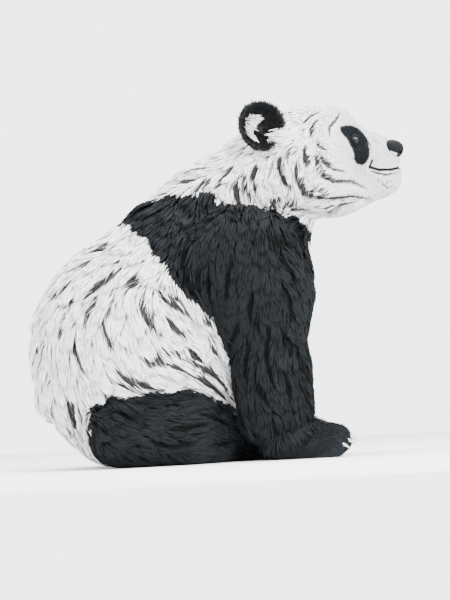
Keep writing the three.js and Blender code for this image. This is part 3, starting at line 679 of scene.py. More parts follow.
# Partings of the coat, with half the width of each gap. The hairs run along them.
partings = {
    "flankDeep": {"gap": 0.0065, "lines": (
        (-248, 503, -264, 487, -301, 468, -327, 451, -340, 434, -346, 400),
        (-148, 428, -127, 407, -100, 389, -67, 376, -29, 358, -1, 329),
        (-200, 423, -196, 394, -181, 362, -160, 338, -137, 325),
        (-378, 313, -370, 289, -358, 261, -343, 240), (-81, 226, -42, 204, -15, 180, 8, 149),
        (-269, 248, -246, 224, -210, 208, -174, 197, -129, 192),
        (-388, 185, -385, 158, -388, 126, -380, 98, -354, 70),
    )},
    "flank": {"gap": 0.0050, "lines": (
        (-269, 560, -306, 557, -330, 547), (-333, 516, -354, 514, -372, 507),
        (-202, 490, -221, 478, -233, 460, -239, 431),
        (-302, 444, -322, 424, -335, 397, -342, 370, -341, 339), (-401, 451, -426, 440, -450, 421),
        (-380, 410, -396, 391, -406, 364, -409, 342, -405, 316),
        (-436, 369, -456, 344, -471, 313, -476, 288), (-456, 303, -464, 281, -474, 258),
        (-431, 287, -447, 257, -459, 221, -464, 194), (-295, 387, -294, 354, -284, 321, -267, 295),
        (-126, 359, -112, 340, -83, 322), (-144, 461, -120, 445, -93, 432, -69, 422),
        (-129, 426, -90, 411, -50, 391), (-37, 294, -10, 277, 11, 258, 20, 239),
        (-154, 280, -120, 275, -84, 263, -49, 241, -18, 218, 3, 192, 20, 159, 30, 136),
        (-212, 261, -162, 259, -117, 249, -81, 226), (-291, 233, -260, 213, -229, 195, -193, 184),
        (-368, 146, -363, 120, -353, 97, -350, 72), (-409, 134, -406, 113, -389, 90, -364, 63),
        (-445, 166, -441, 143, -436, 119),
    )},
    "foreleg": {"gap": 0.0058, "lines": (
        (80, 560, 117, 559, 160, 548, 198, 527, 226, 501, 244, 470),
        (148, 518, 170, 499, 190, 463, 202, 412), (39, 501, 24, 472, 20, 443, 18, 402),
        (84, 420, 75, 391, 77, 355), (87, 364, 91, 346, 98, 329),
        (-70, 580, -84, 541, -89, 507, -79, 463, -63, 428, -43, 388), (-55, 486, -54, 462, -46, 432),
        (-23, 489, -26, 445, -19, 396, -11, 354), (169, 438, 177, 405, 183, 349),
        (123, 330, 113, 292, 113, 248, 121, 208, 131, 171), (70, 289, 57, 255, 57, 211, 61, 184),
        (159, 328, 162, 304, 156, 272), (179, 303, 171, 249), (151, 221, 164, 191, 166, 147),
        (79, 213, 87, 181, 101, 155, 122, 140), (187, 239, 207, 218, 222, 188, 228, 168),
        (198, 177, 210, 150, 219, 125), (119, 93, 126, 71, 149, 48, 187, 36), (160, 79, 174, 54, 190, 38),
        (219, 76, 205, 50, 191, 36), (44, 339, 26, 306, 14, 282), (179, 586, 201, 573, 224, 554),
    )},
    "leg": {"gap": 0.0056, "lines": (
        (-134, 88, -102, 93, -70, 100, -42, 101), (-212, 80, -181, 61, -141, 50, -100, 54, -71, 68),
        (-55, 125, -19, 111, 16, 87), (-36, 47, -4, 48, 15, 55), (-301, 39, -275, 20), (-262, 37, -238, 13),
        (-228, 36, -193, 6), (-146, 29, -129, 12, -116, 7), (-328, 132, -320, 109, -294, 85),
        (-272, 147, -250, 137, -233, 118),
    )},
    "neckDeep": {"gap": 0.0052, "lines": (
        (-37, 704, -46, 693, -50, 682, -50, 670), (54, 712, 52, 692, 55, 674, 62, 656, 73, 644),
    )},
    "neck": {"gap": 0.0042, "lines": (
        (-12, 745, -39, 746, -61, 744, -80, 738), (-60, 725, -77, 721, -93, 715, -109, 711),
        (-19, 722, -27, 710, -29, 695, -28, 679, -22, 665), (49, 745, 35, 732, 20, 715, 14, 700, 15, 690),
        (80, 723, 74, 705, 75, 687, 84, 669, 97, 646), (86, 693, 86, 675, 93, 661, 116, 651),
        (105, 754, 99, 735, 99, 719, 103, 697, 109, 679), (89, 801, 77, 791, 64, 778),
        (53, 783, 41, 782, 29, 781),
    )},
    "face": {"gap": 0.0017, "lines": (
        (418, 698.5, 421.5, 690.5), (429, 694.5, 432.5, 685), (440, 692, 441.5, 682),
        (452, 699, 452.5, 688), (461.5, 702, 462, 690), (410, 799, 425, 793.5, 440, 787),
        (430, 799, 440, 793.5), (396, 801, 405, 788, 408.5, 774),
    )},
    "head": {"gap": 0.0036, "lines": (
        (124, 706, 131, 694, 141, 683), (138, 665, 150, 643, 165, 628), (252, 693, 266, 674, 290, 659),
        (166, 653, 193, 635, 229, 622, 272, 616), (249, 638, 273, 631, 304, 638, 336, 650, 361, 655),
        (273, 773, 280, 754, 294, 738, 308, 729), (267, 810, 272, 791, 295, 776),
        (154, 784, 147, 770, 133, 755), (273, 856, 253, 833, 256, 808, 260, 799),
    )},
}
partingReach = {"lie": 0.026, "headLie": 0.014, "step": 0.004, "foldShare": 0.62, "samples": 111,
                "widest": 0.33}


def outermost(flat):
    depth = np.linspace(partingReach["widest"], 0.0, partingReach["samples"])
    rows, columns = len(flat), len(depth)                   # where a line along Y first meets the body
    x, z = np.repeat(flat, columns, axis=0).T
    spots = np.stack([x, np.tile(depth, rows), z], axis=1)
    away = np.minimum.reduce(list(partDistances(spots).values())).reshape(rows, columns)
    y = np.where(away.min(axis=1) < 0, depth[np.argmax(away < 0, axis=1)], 0.0)
    return np.stack([flat[:, 0], y, flat[:, 1]], axis=1)


def sampledPartings():
    spots, ways, gaps = [], [], []
    every = [(line, zone["gap"]) for zone in partings.values() for line in zone["lines"]]
    every += [(fold["line"], partingReach["foldShare"] * fold["wide"]) for fold in folds.values()]
    for line, gap in every:
        line = metres(line)
        lengths = np.concatenate([[0], np.cumsum(np.linalg.norm(np.diff(line, axis=0), axis=1))])
        places = np.linspace(0, lengths[-1], max(int(lengths[-1] / partingReach["step"]), 4))
        path = outermost(np.stack([np.interp(places, lengths, line[:, axis]) for axis in (0, 1)], axis=1))
        ends = np.sin(np.pi * np.clip(0.10 + 0.86 * places / lengths[-1], 0, 1)) ** 0.7
        spots.append(path)
        ways.append(unit(np.gradient(path, axis=0)))
        gaps.append(gap * ends)
    return np.vstack(spots), np.vstack(ways), np.concatenate(gaps)


def treeOf(spots):
    tree = KDTree(len(spots))
    for n, spot in enumerate(spots):
        tree.insert(spot, n)
    tree.balance()
    return tree


def nearestIn(tree, points):
    hits = [tree.find(spot) for spot in points]
    return np.array([hit[1] for hit in hits]), np.array([hit[2] for hit in hits])


partingSpots, partingWays, partingGaps = sampledPartings()
partingTree = treeOf(partingSpots)
print("panda:", len(partingSpots), "points along the partings")


def partingAt(points):
    half = folded(points)
    index, away = nearestIn(partingTree, half)
    way, offset = partingWays[index], half - partingSpots[index]
    side = np.sign(way[:, 0] * offset[:, 2] - way[:, 2] * offset[:, 0])
    return away, partingGaps[index], way, side


# The lie of the coat: by height on the trunk, by part on the limbs, and away from the nose on the face.
lie = {
    "heights": (0.12, 0.26, 0.42, 0.56, 0.70, 0.82, 0.92),
    "ways": ((0.75, 0, -0.50), (0.35, 0, -0.90), (-0.15, 0, -1.0), (-0.60, 0, -0.80), (-0.50, 0, -0.88),
             (-0.85, 0, -0.55), (-1.0, 0, -0.30)),
    "arm": (-0.10, 0, -1.0), "leg": (0.92, 0, -0.28), "forepaw": (1.0, 0, -0.30), "hindfoot": (1.0, 0, -0.25),
    "tail": (0.05, 0, -1.0), "rump": (0.25, 0, -1.0), "faceFrom": (0.505, 0, 0.790), "faceTo": (0, 0, -0.42),
    "shoulder": (-0.34, 0.52, -0.64), "shoulderFrom": 0.585, "shoulderOver": 0.060,
}


def shareOf(parts, name, width=0.020):
    rest = np.minimum.reduce([parts[other] for other in parts if other != name])
    return smoothStep((rest - parts[name]) / width + 0.5)


def mix(a, b, share):
    share = share[:, None] if np.ndim(a) > 1 else share
    return a * (1 - share) + np.array(b) * share


def dot(a, b):
    return np.einsum("ij,ij->i", a, b)


def lieAt(points, parts):
    x, y, z = points.T
    ways = np.array(lie["ways"], float)
    way = np.stack([np.interp(z, lie["heights"], ways[:, axis]) for axis in range(3)], axis=1)
    way[:, 1] += 0.9 * y * smoothStep((z - 0.45) / 0.2)
    way = mix(way, lie["rump"], smoothStep((-0.30 - x) / 0.10))
    away = faceAway(points)
    fall = smoothStep((away - 0.06) / 0.1)[:, None]
    fromNose = unit(points - np.array(lie["faceFrom"])) + np.array(lie["faceTo"]) * fall
    way = mix(way, fromNose, smoothStep((0.27 - away) / 0.10))
    for part in limbs:
        way = mix(way, lie[part], shareOf(parts, part))
    over = smoothStep((z - lie["shoulderFrom"]) / lie["shoulderOver"]) * shareOf(parts, "arm")
    return mix(way, np.array(lie["shoulder"]) * mirrorOf(points), over)    # over the top, so no crown is bare


def lieAlongPartings(points, way):
    away, gap, along, side = partingAt(points)
    along = along * mirrorOf(points)
    along *= np.where(dot(along, way) < 0, -1.0, 1.0)[:, None]
    reach = np.where(faceAway(points) < 0.24, partingReach["headLie"], partingReach["lie"])
    way = unit(way)
    agree = np.clip(1.7 * np.abs(dot(along, way)), 0.0, 1.0)
    return mix(way, along, 0.92 * bell(away, reach) * agree)


# Ragged zones, where locks stand out of the outline, each with its reach.
ragged = {
    "flankEdge": {"reach": 0.026, "line": (-228, 612, -177, 561, -136, 500, -103, 460, -53, 399)},
    "elbowEdge": {"reach": 0.030, "line": (-53, 399, -17, 348, 13, 245, 28, 142, 40, 80)},
    "neckEdge": {"reach": 0.028, "line": (-150, 690, -59, 680, 47, 655, 173, 630, 234, 580)},
    "legEdge": {"reach": 0.030, "line": (-345, 155, -325, 182, -250, 180, -163, 208, -120, 212, -42, 180,
                                         24, 150)},
    "throatEdge": {"reach": 0.024, "line": (240, 590, 281, 606, 337, 630, 395, 645)},
    "wristEdge": {"reach": 0.020, "line": (75, 70, 120, 78, 190, 60)},
    "cheekEdge": {"reach": 0.020, "line": (190, 840, 176, 815, 172, 790)},
}


def raggedAt(points):
    flat = points[:, [0, 2]]
    most = 0.7 * smoothStep((-0.34 - points[:, 0]) / 0.07) * smoothStep((points[:, 2] - 0.05) / 0.1)
    for zone in ragged.values():
        most = np.maximum(most, bell(lineDistance(flat, metres(zone["line"]))[0], zone["reach"]))
    return most


coat = {
    "faceRange": (0.045, 0.085, 0.125, 0.165, 0.215, 0.29, 0.40),
    "faceLength": (0.0065, 0.0085, 0.0115, 0.0180, 0.0300, 0.0450, 0.0620),
    "length": {"arm": 0.052, "leg": 0.048, "forepaw": 0.019, "hindfoot": 0.016, "tail": 0.042},
    "ear": 0.019, "longest": 0.062, "width": 0.0062, "spacing": 0.0058, "least": 0.0022, "pawSpacing": 1.25,
    "hem": 0.35, "toneJag": 0.46, "lockSpan": 0.40, "lockPull": 0.52, "stray": 0.18, "sink": 0.0022,
    "short": 0.024, "shagFrom": 0.03, "toeTrim": 0.62, "floor": 0.0016, "patch": 0.0028, "ridge": 0.55,
    "leastLift": 0.12, "thinning": 0.62,
}


def lengthAt(points, parts, ears):
    size = np.interp(faceAway(points), coat["faceRange"], coat["faceLength"])
    for part, value in coat["length"].items():
        size = mix(size, value, shareOf(parts, part, 0.030))
    return np.where(ears, coat["ear"], size)


def onToeFront(half):
    front = np.zeros(len(half), bool)                       # where the claws come out of the toes
    for paw in (forepaw, hindfoot):
        for n in range(1, 6):
            middle, size = paw["toe%d" % n]
            x, y, z = ((half - np.array(middle)) / np.array(size)).T
            front |= (x > 0.70) & (np.abs(y) < 0.48) & (np.abs(z - 0.02) < 0.42)
    return front


def bareAt(points):
    half = folded(settled(bodyDistance, points, 1))         # the lines lie on the body without its folds
    onLine, onCorner = mouthAway(half)
    mouthBare = (onLine < mouth["bare"]) | (onCorner < 0.6 * mouth["bare"]) | onToeFront(folded(points))
    return (eyeRing(points) < 1.42) | (noseNear(points) < 1.13) | mouthBare | (points[:, 2] < 0.008)


def readArray(collection, name, width, kind):
    values = np.empty(len(collection) * width, kind)
    collection.foreach_get(name, values)
    return values.reshape(-1, width)


def drawRoots(body, spacingAt, seed):
    draw = np.random.default_rng(seed)
    mesh = body.data
    mesh.calc_loop_triangles()
    triangles = mesh.loop_triangles
    corners, loops = [readArray(triangles, name, 3, np.int32) for name in ("vertices", "loops")]
    areas = readArray(triangles, "area", 1, np.float32)[:, 0]
    uvs = readArray(mesh.uv_layers["OFBake"].data, "uv", 2, np.float32)
    spots, normals = pointsOf(mesh), pointsOf(mesh, "normal")
    middles = spots[corners].mean(axis=1)
    expected = areas / spacingAt(middles) ** 2
    number = np.floor(expected + draw.random(len(areas))).astype(int)
    pick = np.repeat(np.arange(len(areas)), number)
    a, b = np.sqrt(draw.random(len(pick))), draw.random(len(pick))
    weights = np.stack([1 - a, a * (1 - b), a * b], axis=1)
    at, normal, uv = [np.einsum("ij,ijk->ik", weights, values[picked[pick]]) for values, picked in
                      ((spots, corners), (normals, corners), (uvs, loops))]
    return SimpleNamespace(at=at, normal=unit(normal), uv=uv)


def someOf(roots, keep):
    return SimpleNamespace(**{name: value[keep] for name, value in vars(roots).items()})


def spacingAt(points):
    parts = partDistances(points)
    size = lengthAt(points, parts, onEar(points))
    wide = np.maximum(coat["spacing"] * (size / coat["longest"]) ** coat["thinning"], coat["least"])
    onPaw = np.minimum(parts["forepaw"], parts["hindfoot"]) < np.minimum(parts["arm"], parts["leg"])
    return wide * np.where(onPaw & (points[:, 2] < 0.1), coat["pawSpacing"], 1.0)


def dress(roots, seed):
    draw = np.random.default_rng(seed)
    x, _, z = roots.at.T
    parts = partDistances(roots.at)
    roots.ears = onEar(roots.at)
    roots.length = lengthAt(roots.at, parts, roots.ears)
    roots.ragged = raggedAt(roots.at) * (roots.length > coat["shagFrom"])
    depths = depthsAt(roots.at)
    lift = depths["body"]
    for part in limbs:
        lift = mix(lift, depths[part], shareOf(parts, part))
    least = coat["leastLift"] * roots.length * smoothStep(z / 0.05)
    roots.lift = np.where(roots.ears, ear["lift"], np.maximum(lift, least))
    raised = roots.at + roots.normal * roots.lift[:, None]
    away, gap, _, side = partingAt(raised)
    roots.gap = bell(away, np.maximum(gap, 1e-5)) * ~roots.ears
    roots.bank = bell(away - 2.1 * gap, np.maximum(gap, 1e-5)) * ~roots.ears
    roots.side = np.where(away < 3.5 * gap, side, 0.0)
    roots.lie = lieAlongPartings(raised, lieAt(roots.at, parts))
    calm = smoothStep((away - gap) / 0.03)
    roots.sway = calm * (0.20 * ripple(roots.at, 0.16, 41) + 0.12 * ripple(roots.at, 0.05, 42))
    toeward = smoothStep((x - 0.225) / 0.06) * shareOf(parts, "forepaw")
    roots.length = roots.length * (1 - coat["toeTrim"] * toeward)
    hem = smoothStep((0.120 - z) / 0.04) * shareOf(parts, "arm") * smoothStep((x - 0.06) / 0.05)
    roots.length = roots.length * (1 + coat["hem"] * hem)
    roots.draw = draw.random((len(roots.at), 5))
    dressEars(roots)


def dressEars(roots):
    mirror = mirrorOf(roots.at)
    half = roots.at * mirror
    tuftAway = np.linalg.norm(half - np.array(ear["cheekTuft"]), axis=1)
    roots.overEar = np.exp(-(tuftAway / ear["cheekReach"]) ** 4) * ~roots.ears
    roots.lie = mix(roots.lie, np.array(ear["cheekLie"]) * mirror, roots.overEar)
    roots.length = mix(roots.length, ear["cheekLength"], roots.overEar)
    roots.lift = mix(roots.lift, ear["cheekLift"], roots.overEar)
    front, up, out = earFrame(roots.at)
    roots.inCup = roots.ears & (np.hypot(front, up) < ear["cup"]) & ((roots.normal * mirror) @ earOut > 0.25)
    crescent = insideOf(markings["crescent"], half[:, 0], half[:, 2]) + 0.006 * (roots.draw[:, 0] - 0.6)
    roots.light = roots.inCup & (crescent > 0)
    earLie = unit(half - np.array(ear["at"])) + np.array(ear["fromHead"])
    earLie = np.where(roots.light[:, None], np.array(ear["crescentLie"]), earLie) * mirror
    roots.lie = np.where(roots.ears[:, None], earLie, roots.lie)
    roots.length = np.where(roots.light, ear["crescentLength"], roots.length)
    roots.lift = np.where(roots.light, ear["crescentLift"], roots.lift)


styles = {
    "long": {"shares": (0.0, 0.34, 0.70, 1.0), "heights": (0.0, 0.62, 0.98, 1.0),
             "halfWidths": (0.80, 1.0, 0.62)},
    "short": {"shares": (0.0, 0.50, 1.0), "heights": (0.0, 0.85, 1.0), "halfWidths": (0.90, 0.85)},
}


def findLocks(roots, seed):
    draw = np.random.default_rng(seed)                      # each tuft joins the lock of its nearest leader
    span = coat["lockSpan"] * roots.length * (1 + 0.35 * roots.ragged) * (1 - 0.45 * roots.overEar)
    apart = coat["spacing"] * (roots.length / coat["longest"]) ** coat["thinning"]
    leaders = np.flatnonzero(draw.random(len(span)) < (apart / span) ** 2)
    nearest, away = nearestIn(treeOf(roots.at[leaders]), roots.at)
    roots.leader = leaders[nearest]
    roots.fromLeader = away / span


def combed(roots, style, length, lift, sway):
    shares, heights = style["shares"], style["heights"]
    here, normal = roots.at, roots.normal                   # the middle line of each tuft, point by point
    ears = roots.ears[:, None]
    surface = settled(skinDistance, here, 1)
    surface = np.where(ears | (np.linalg.norm(surface - here, axis=1) > 0.014)[:, None], here, surface)
    offset = here - surface
    line, ups = [here - normal * coat["sink"]], [normal]
    for n in range(1, len(shares)):
        way = unit(roots.lie - normal * dot(roots.lie, normal)[:, None])
        way = unit(way + np.cross(normal, way) * (sway * (0.5 + shares[n - 1]))[:, None])
        surface = surface + way * (length * (shares[n] - shares[n - 1]))[:, None]
        slope = slopeOf(skinDistance, surface)
        back = slope * (skinDistance(surface) / np.maximum(dot(slope, slope), 0.2))[:, None]
        surface = np.where(ears, surface, surface - back)
        normal = np.where(ears, normal, unit(slope))
        line.append(surface + offset * (1 - 0.35 * shares[n]) + normal * (lift * heights[n])[:, None])
        ups.append(normal)
    return np.stack(line), np.stack(ups)


def growCoat(roots, style):
    own, lock = roots.draw.T, roots.draw[roots.leader].T    # each tuft's own chances and its lock's
    length = roots.length * (0.82 + 0.22 * own[2] + 0.22 * lock[2]) * (1 + 0.55 * roots.ragged * lock[3])
    length *= 1.0 - 0.28 * np.clip(roots.fromLeader, 0.0, 1.0) ** 2
    loose = smoothStep(roots.at[:, 2] / 0.08)
    lift = roots.lift * (0.74 + 0.20 * own[1] + 0.34 * lock[1]) + roots.ragged * 0.012 * lock[3] ** 2 * loose
    lift *= (1 - 0.25 * roots.gap) * (1 + 0.06 * roots.bank)
    lockSway = 0.16 * (lock[4] - 0.5) * (roots.length > coat["short"]) * (1 - roots.gap)
    return combed(roots, style, length, lift, roots.sway + 0.14 * (own[4] - 0.5) + lockSway)


def gather(roots, style, line):
    home = roots.leader
    pull = coat["lockPull"] * (0.75 + 0.5 * roots.draw[home, 0])
    pull = pull * (1 + 0.35 * roots.ragged + 0.5 * roots.overEar)
    apart = (roots.side * roots.side[home] < 0) | (roots.gap > 0.35) | (roots.fromLeader > 1.7)
    apart |= roots.draw[:, 2] < coat["stray"]
    pull = np.where(apart, 0.0, pull) * np.where(roots.ears, 0.3, 1.0)
    pull = np.clip(pull, 0.0, 0.88)
    for n, share in enumerate(style["shares"]):
        line[n] += (line[n, home] - line[n]) * (pull * share ** 1.3)[:, None]
    line[:, :, 2] = np.maximum(line[:, :, 2], coat["floor"])


def colourTufts(roots, line):
    rooted = toneField(line[0])                             # white locks jut over black ones only
    jut = roots.draw[roots.leader, 4]
    jut = coat["toneJag"] * np.where(rooted > 0.5, jut - 0.95, 0.3 * (jut - 0.5))
    along = (line[-1] - line[0]) * jut[:, None]
    tones = np.stack([toneField(ring + along) for ring in line])
    # Ear rim tufts take a tone just above black, which lightens them a little: painted light that makes up for
    # the shade among the ear's dense tufts.
    tones = np.where(roots.ears, np.where(roots.inCup, 0.0, ear["rimPaintedLight"]), tones)
    roots.tones = np.where(roots.light | (roots.overEar > 0.3), 1.0, tones)
    # Tufts lying in a parting or fold are darkened in colour: painted shade of the gap between the locks.
    away, gap, _, _ = partingAt(line[-2])
    plain = ~roots.ears & (roots.overEar < 0.3)
    roots.shade = smoothStep((1.55 * gap - away) / (0.6 * gap + 1e-6)) * plain
    closes = np.zeros(len(roots.at), bool)
    for spot in (line[-1], (line[-1] + line[-2]) / 2, (line[-2] + line[-3]) / 2):
        away, gap, _, _ = partingAt(spot)
        closes |= away < 0.75 * gap
    roots.closes = closes & (roots.shade < 0.5) & plain
    # Tufts in the ear cup, outside the light crescent, are darkened: painted shade of the hollow.
    roots.shade = np.maximum(roots.shade, 0.60 * (roots.inCup & ~roots.light))


def coversFeatures(points):
    onMouth = np.minimum(*mouthAway(folded(points))) < mouth["open"]
    return onMouth | (eyeRing(points) < 1.10) | (noseNear(points) < 1.04)


def tuftMesh(name, roots, style, line, ups, pick):
    shares = style["shares"]
    line, ups = line[:, pick], ups[:, pick]
    number = len(pick)
    width = coat["width"] * (roots.length[pick] / coat["longest"]) ** 0.66
    width *= 0.72 + 0.5 * roots.draw[pick, 3]
    width *= 1 - 0.35 * roots.shade[pick]
    spots, across, along = [], [], []
    for n in range(len(shares) - 1):                        # three-sided rings and a tip
        ahead = unit(line[n + 1] - line[max(n - 1, 0)])
        sideways = unit(np.cross(ups[n], ahead))
        half = (width * 0.5 * style["halfWidths"][n])[:, None]
        over = unit(np.cross(ahead, sideways))
        spots += [line[n] - sideways * half, line[n] + over * half * coat["ridge"], line[n] + sideways * half]
        across += [0.0, 0.5, 1.0]
        along += [shares[n]] * 3
    spots.append(line[-1])
    across.append(0.5)
    along.append(1.0)
    perTuft = len(spots)
    spots = np.stack(spots, axis=1).reshape(-1, 3)
    spots[:, 2] = np.maximum(spots[:, 2], coat["floor"] / 2)
    across, along = np.tile(across, (number, 1)), np.tile(along, (number, 1))
    faces = [(2, 1, 0)]
    for a in range(0, perTuft - 4, 3):
        faces += [(a, a + 1, a + 4, a + 3), (a + 1, a + 2, a + 5, a + 4), (a + 2, a, a + 3, a + 5)]
    last = perTuft - 4
    faces += [(last, last + 1, perTuft - 1), (last + 1, last + 2, perTuft - 1), (last + 2, last, perTuft - 1)]
    sizes = np.tile([len(face) for face in faces], number)
    pattern = np.concatenate([np.array(face) for face in faces])
    corners = (pattern[None, :] + perTuft * np.arange(number)[:, None]).ravel()
    mesh = bpy.data.meshes.new(name)
    mesh.vertices.add(len(spots))
    mesh.vertices.foreach_set("co", spots.astype(np.float32).ravel())
    mesh.loops.add(len(corners))
    mesh.loops.foreach_set("vertex_index", corners.astype(np.int32))
    mesh.polygons.add(len(sizes))
    mesh.polygons.foreach_set("loop_start", np.concatenate([[0], np.cumsum(sizes)[:-1]]).astype(np.int32))
    smoothFaces(mesh)
    mesh.update(calc_edges=True)
    uv = roots.uv[pick][:, None, :] + np.stack([across - 0.5, along - 0.5], axis=2) * coat["patch"]
    uv = uv.reshape(-1, 2)[corners].astype(np.float32)
    mesh.uv_layers.new(name="OFBake").data.foreach_set("uv", uv.ravel())
    lock = roots.draw[roots.leader[pick], 4] * 0.6 + roots.draw[pick, 4] * 0.4
    seeds, locks, shades = [np.repeat(value[:, None], perTuft, axis=1) for value in
                            (roots.draw[pick, 0], lock, roots.shade[pick])]
    tones = np.concatenate([np.repeat(roots.tones[:-1, pick], 3, axis=0), roots.tones[-1:, pick]]).T
    writeAttribute(mesh, "tuft", np.stack([across, along, seeds], axis=2))
    writeAttribute(mesh, "look", np.stack([tones, locks, shades], axis=2))
    piece = bpy.data.objects.new(name, mesh)
    bpy.context.collection.objects.link(piece)
    return piece, int((sizes - 2).sum())


def newMaterial(name, roughness, settings):
    material = bpy.data.materials.new(name)
    material.use_nodes = True
    shader = material.node_tree.nodes["Principled BSDF"]
    shader.inputs["Roughness"].default_value = roughness
    for key, value in settings.items():
        shader.inputs[key].default_value = value
    return material, material.node_tree, shader


def feed(tree, value, entry):
    if isinstance(value, bpy.types.NodeSocket):
        tree.links.new(value, entry)
    else:
        entry.default_value = value


def node(tree, kind, **values):
    made = tree.nodes.new(kind)
    for key, value in values.items():
        if key in made.inputs:
            feed(tree, value, made.inputs[key])
        else:
            setattr(made, key, value)
    return made


def mixNode(tree, factor, a, b, blend="MIX"):
    mixer = node(tree, "ShaderNodeMix", data_type="RGBA", blend_type=blend)
    for index, value in ((0, factor), (6, a), (7, b)):
        feed(tree, value, mixer.inputs[index])
    return mixer.outputs[2]


def mathNode(tree, operation, a, b, clamp=False):
    made = node(tree, "ShaderNodeMath", operation=operation, use_clamp=clamp)
    feed(tree, a, made.inputs[0])
    feed(tree, b, made.inputs[1])
    return made.outputs[0]


def split(tree, name):
    reader = node(tree, "ShaderNodeAttribute", attribute_name=name)
    return node(tree, "ShaderNodeSeparateXYZ", Vector=reader.outputs["Vector"]).outputs


def onObject(tree, kind, **values):
    spot = node(tree, "ShaderNodeTexCoord")
    return node(tree, kind, Vector=spot.outputs["Object"], **values)


def surfaceOf(tree, shader, colour, height, strength, distance):
    tree.links.new(colour, shader.inputs["Base Color"])
    bump = node(tree, "ShaderNodeBump", Strength=strength, Distance=distance, Height=height)
    tree.links.new(bump.outputs["Normal"], shader.inputs["Normal"])


# crease is the dark the skin's shade column mixes in: the skin's own pigment on the lid rims and lip line,
# painted shade in the folds and the ear cup.
furColours = {"black": (0.0048, 0.0061, 0.0075, 1), "blackTip": (0.0106, 0.0132, 0.0153, 1),
              "white": (0.68, 0.675, 0.665, 1), "whiteTip": (0.93, 0.928, 0.92, 1),
              "blackSkin": (0.006, 0.008, 0.0095, 1), "blackHair": (0.014, 0.0165, 0.0195, 1),
              "whiteSkin": (0.50, 0.49, 0.47, 1), "whiteHair": (0.80, 0.79, 0.77, 1),
              "crease": (0.009, 0.009, 0.010, 1)}


def coatMaterial():
    material, tree, shader = newMaterial("coat", 0.70, {"Specular IOR Level": 0.12})

    def times(a, b, clamp=False):
        return mathNode(tree, "MULTIPLY", a, b, clamp)

    def plus(a, b):
        return mathNode(tree, "ADD", a, b)

    tone, lock, shade = split(tree, "look")
    across, along, seed = split(tree, "tuft")
    strand = node(tree, "ShaderNodeCombineXYZ", X=times(across, 3.2), Y=times(along, 0.7), Z=times(seed, 91.0))
    fine = node(tree, "ShaderNodeTexNoise", Vector=strand.outputs[0], Scale=2.6, Detail=2.0, Roughness=0.6)
    fine = fine.outputs["Fac"]
    # Each tuft is darker at the root than at the tip: painted shade of the coat's depth.
    black = mixNode(tree, times(along, plus(fine, 0.2), True), furColours["black"], furColours["blackTip"])
    white = mixNode(tree, times(along, 1.5, True), furColours["white"], furColours["whiteTip"])
    sharp = times(mathNode(tree, "SUBTRACT", tone, 0.46), 12.0, True)
    level = plus(plus(0.74, times(fine, 0.28)), times(lock, 0.14))
    # The shade column darkens a tuft almost to black: painted shade in the partings, the folds and the ear
    # cup.
    level = times(level, mathNode(tree, "SUBTRACT", 1.0, times(shade, 0.96, True), True))
    grey = node(tree, "ShaderNodeCombineColor", Red=level, Green=level, Blue=level)
    colour = mixNode(tree, 1.0, mixNode(tree, sharp, black, white), grey.outputs[0], "MULTIPLY")
    surfaceOf(tree, shader, colour, fine, 0.35, 0.001)
    return material


def skinMaterial():
    material, tree, shader = newMaterial("skin", 0.80, {"Specular IOR Level": 0.12})
    tone, _, shade = split(tree, "look")
    hairs = onObject(tree, "ShaderNodeTexNoise", Scale=420.0, Detail=3.0, Roughness=0.6).outputs["Fac"]
    black = mixNode(tree, hairs, furColours["blackSkin"], furColours["blackHair"])
    white = mixNode(tree, hairs, furColours["whiteSkin"], furColours["whiteHair"])
    # shade mixes in the crease colour: dark pigment on the lid rims and lips, painted shade in the folds and
    # the ear cup.
    colour = mixNode(tree, shade, mixNode(tree, tone, black, white), furColours["crease"])
    surfaceOf(tree, shader, colour, hairs, 0.5, 0.001)
    return material


def skinLook(spots):
    ears = onEar(spots)
    rims = smoothStep((1.55 - eyeRing(spots)) / 0.2)
    flat = spots.copy()                                     # the lines lie on the body without its folds
    onFace = faceAway(spots) < 0.35
    flat[onFace] = settled(bodyDistance, spots[onFace], 2)
    onLine, onCorner = mouthAway(folded(flat))
    lips = smoothStep((0.0046 - np.minimum(onLine, 1.15 * onCorner)) / 0.0016)
    # The skin in the ear cup and in the bottoms of the folds is darkened: painted shade. The lid rims and the
    # lip line are the skin's own dark pigment.
    cups = ears & (np.hypot(*earFrame(spots)[:2]) < ear["cupShadeReach"])
    foldAndCupShade = np.maximum(0.9 * foldShade(flat), 0.6 * cups)
    shade = np.clip(np.maximum.reduce([rims, lips, foldAndCupShade]), 0, 1)
    return np.stack([toneAt(spots, partDistances(spots), ears), np.zeros(len(spots)), shade], axis=1)


writeAttribute(skin.data, "look", skinLook(pointsOf(skin.data)))
skin.data.materials.clear()
skin.data.materials.append(skinMaterial())

roots = drawRoots(skin, spacingAt, 21)
roots = someOf(roots, ~bareAt(roots.at))
dress(roots, 22)
print("panda:", len(roots.at), "tuft roots")


def regionsOf(roots):
    parts = partDistances(roots.at)
    x, y, z = roots.at.T
    onNeck = 0.24 * (x - 0.035) + 0.97 * (z - 0.640) > 0
    onHead = onNeck & (0.72 * (x - 0.178) + 0.69 * (z - 0.735) > 0)
    owner = np.array(list(parts))[np.argmin(np.stack(list(parts.values())), axis=0)]
    names = np.full(len(x), "coatFlank", object)
    zones = {
        "Rump": x < -0.24, "Shoulder": (z > 0.55) & (x < 0.05), "Neck": onNeck, "Head": onHead,
        "Face": onHead & (faceAway(roots.at) < 0.150), "UpperArm": (owner == "arm") & (z > 0.33),
        "Forearm": (owner == "arm") & (z <= 0.33), "Leg": owner == "leg",
        "Paw": (owner == "forepaw") | (owner == "hindfoot"), "Tail": owner == "tail", "Ear": roots.ears,
    }
    for name, where in zones.items():
        names[where] = "coat" + name
    hands = np.where(y < 0, "Right", "Left").astype(object)
    hands[names == "coatTail"] = ""
    return names + hands


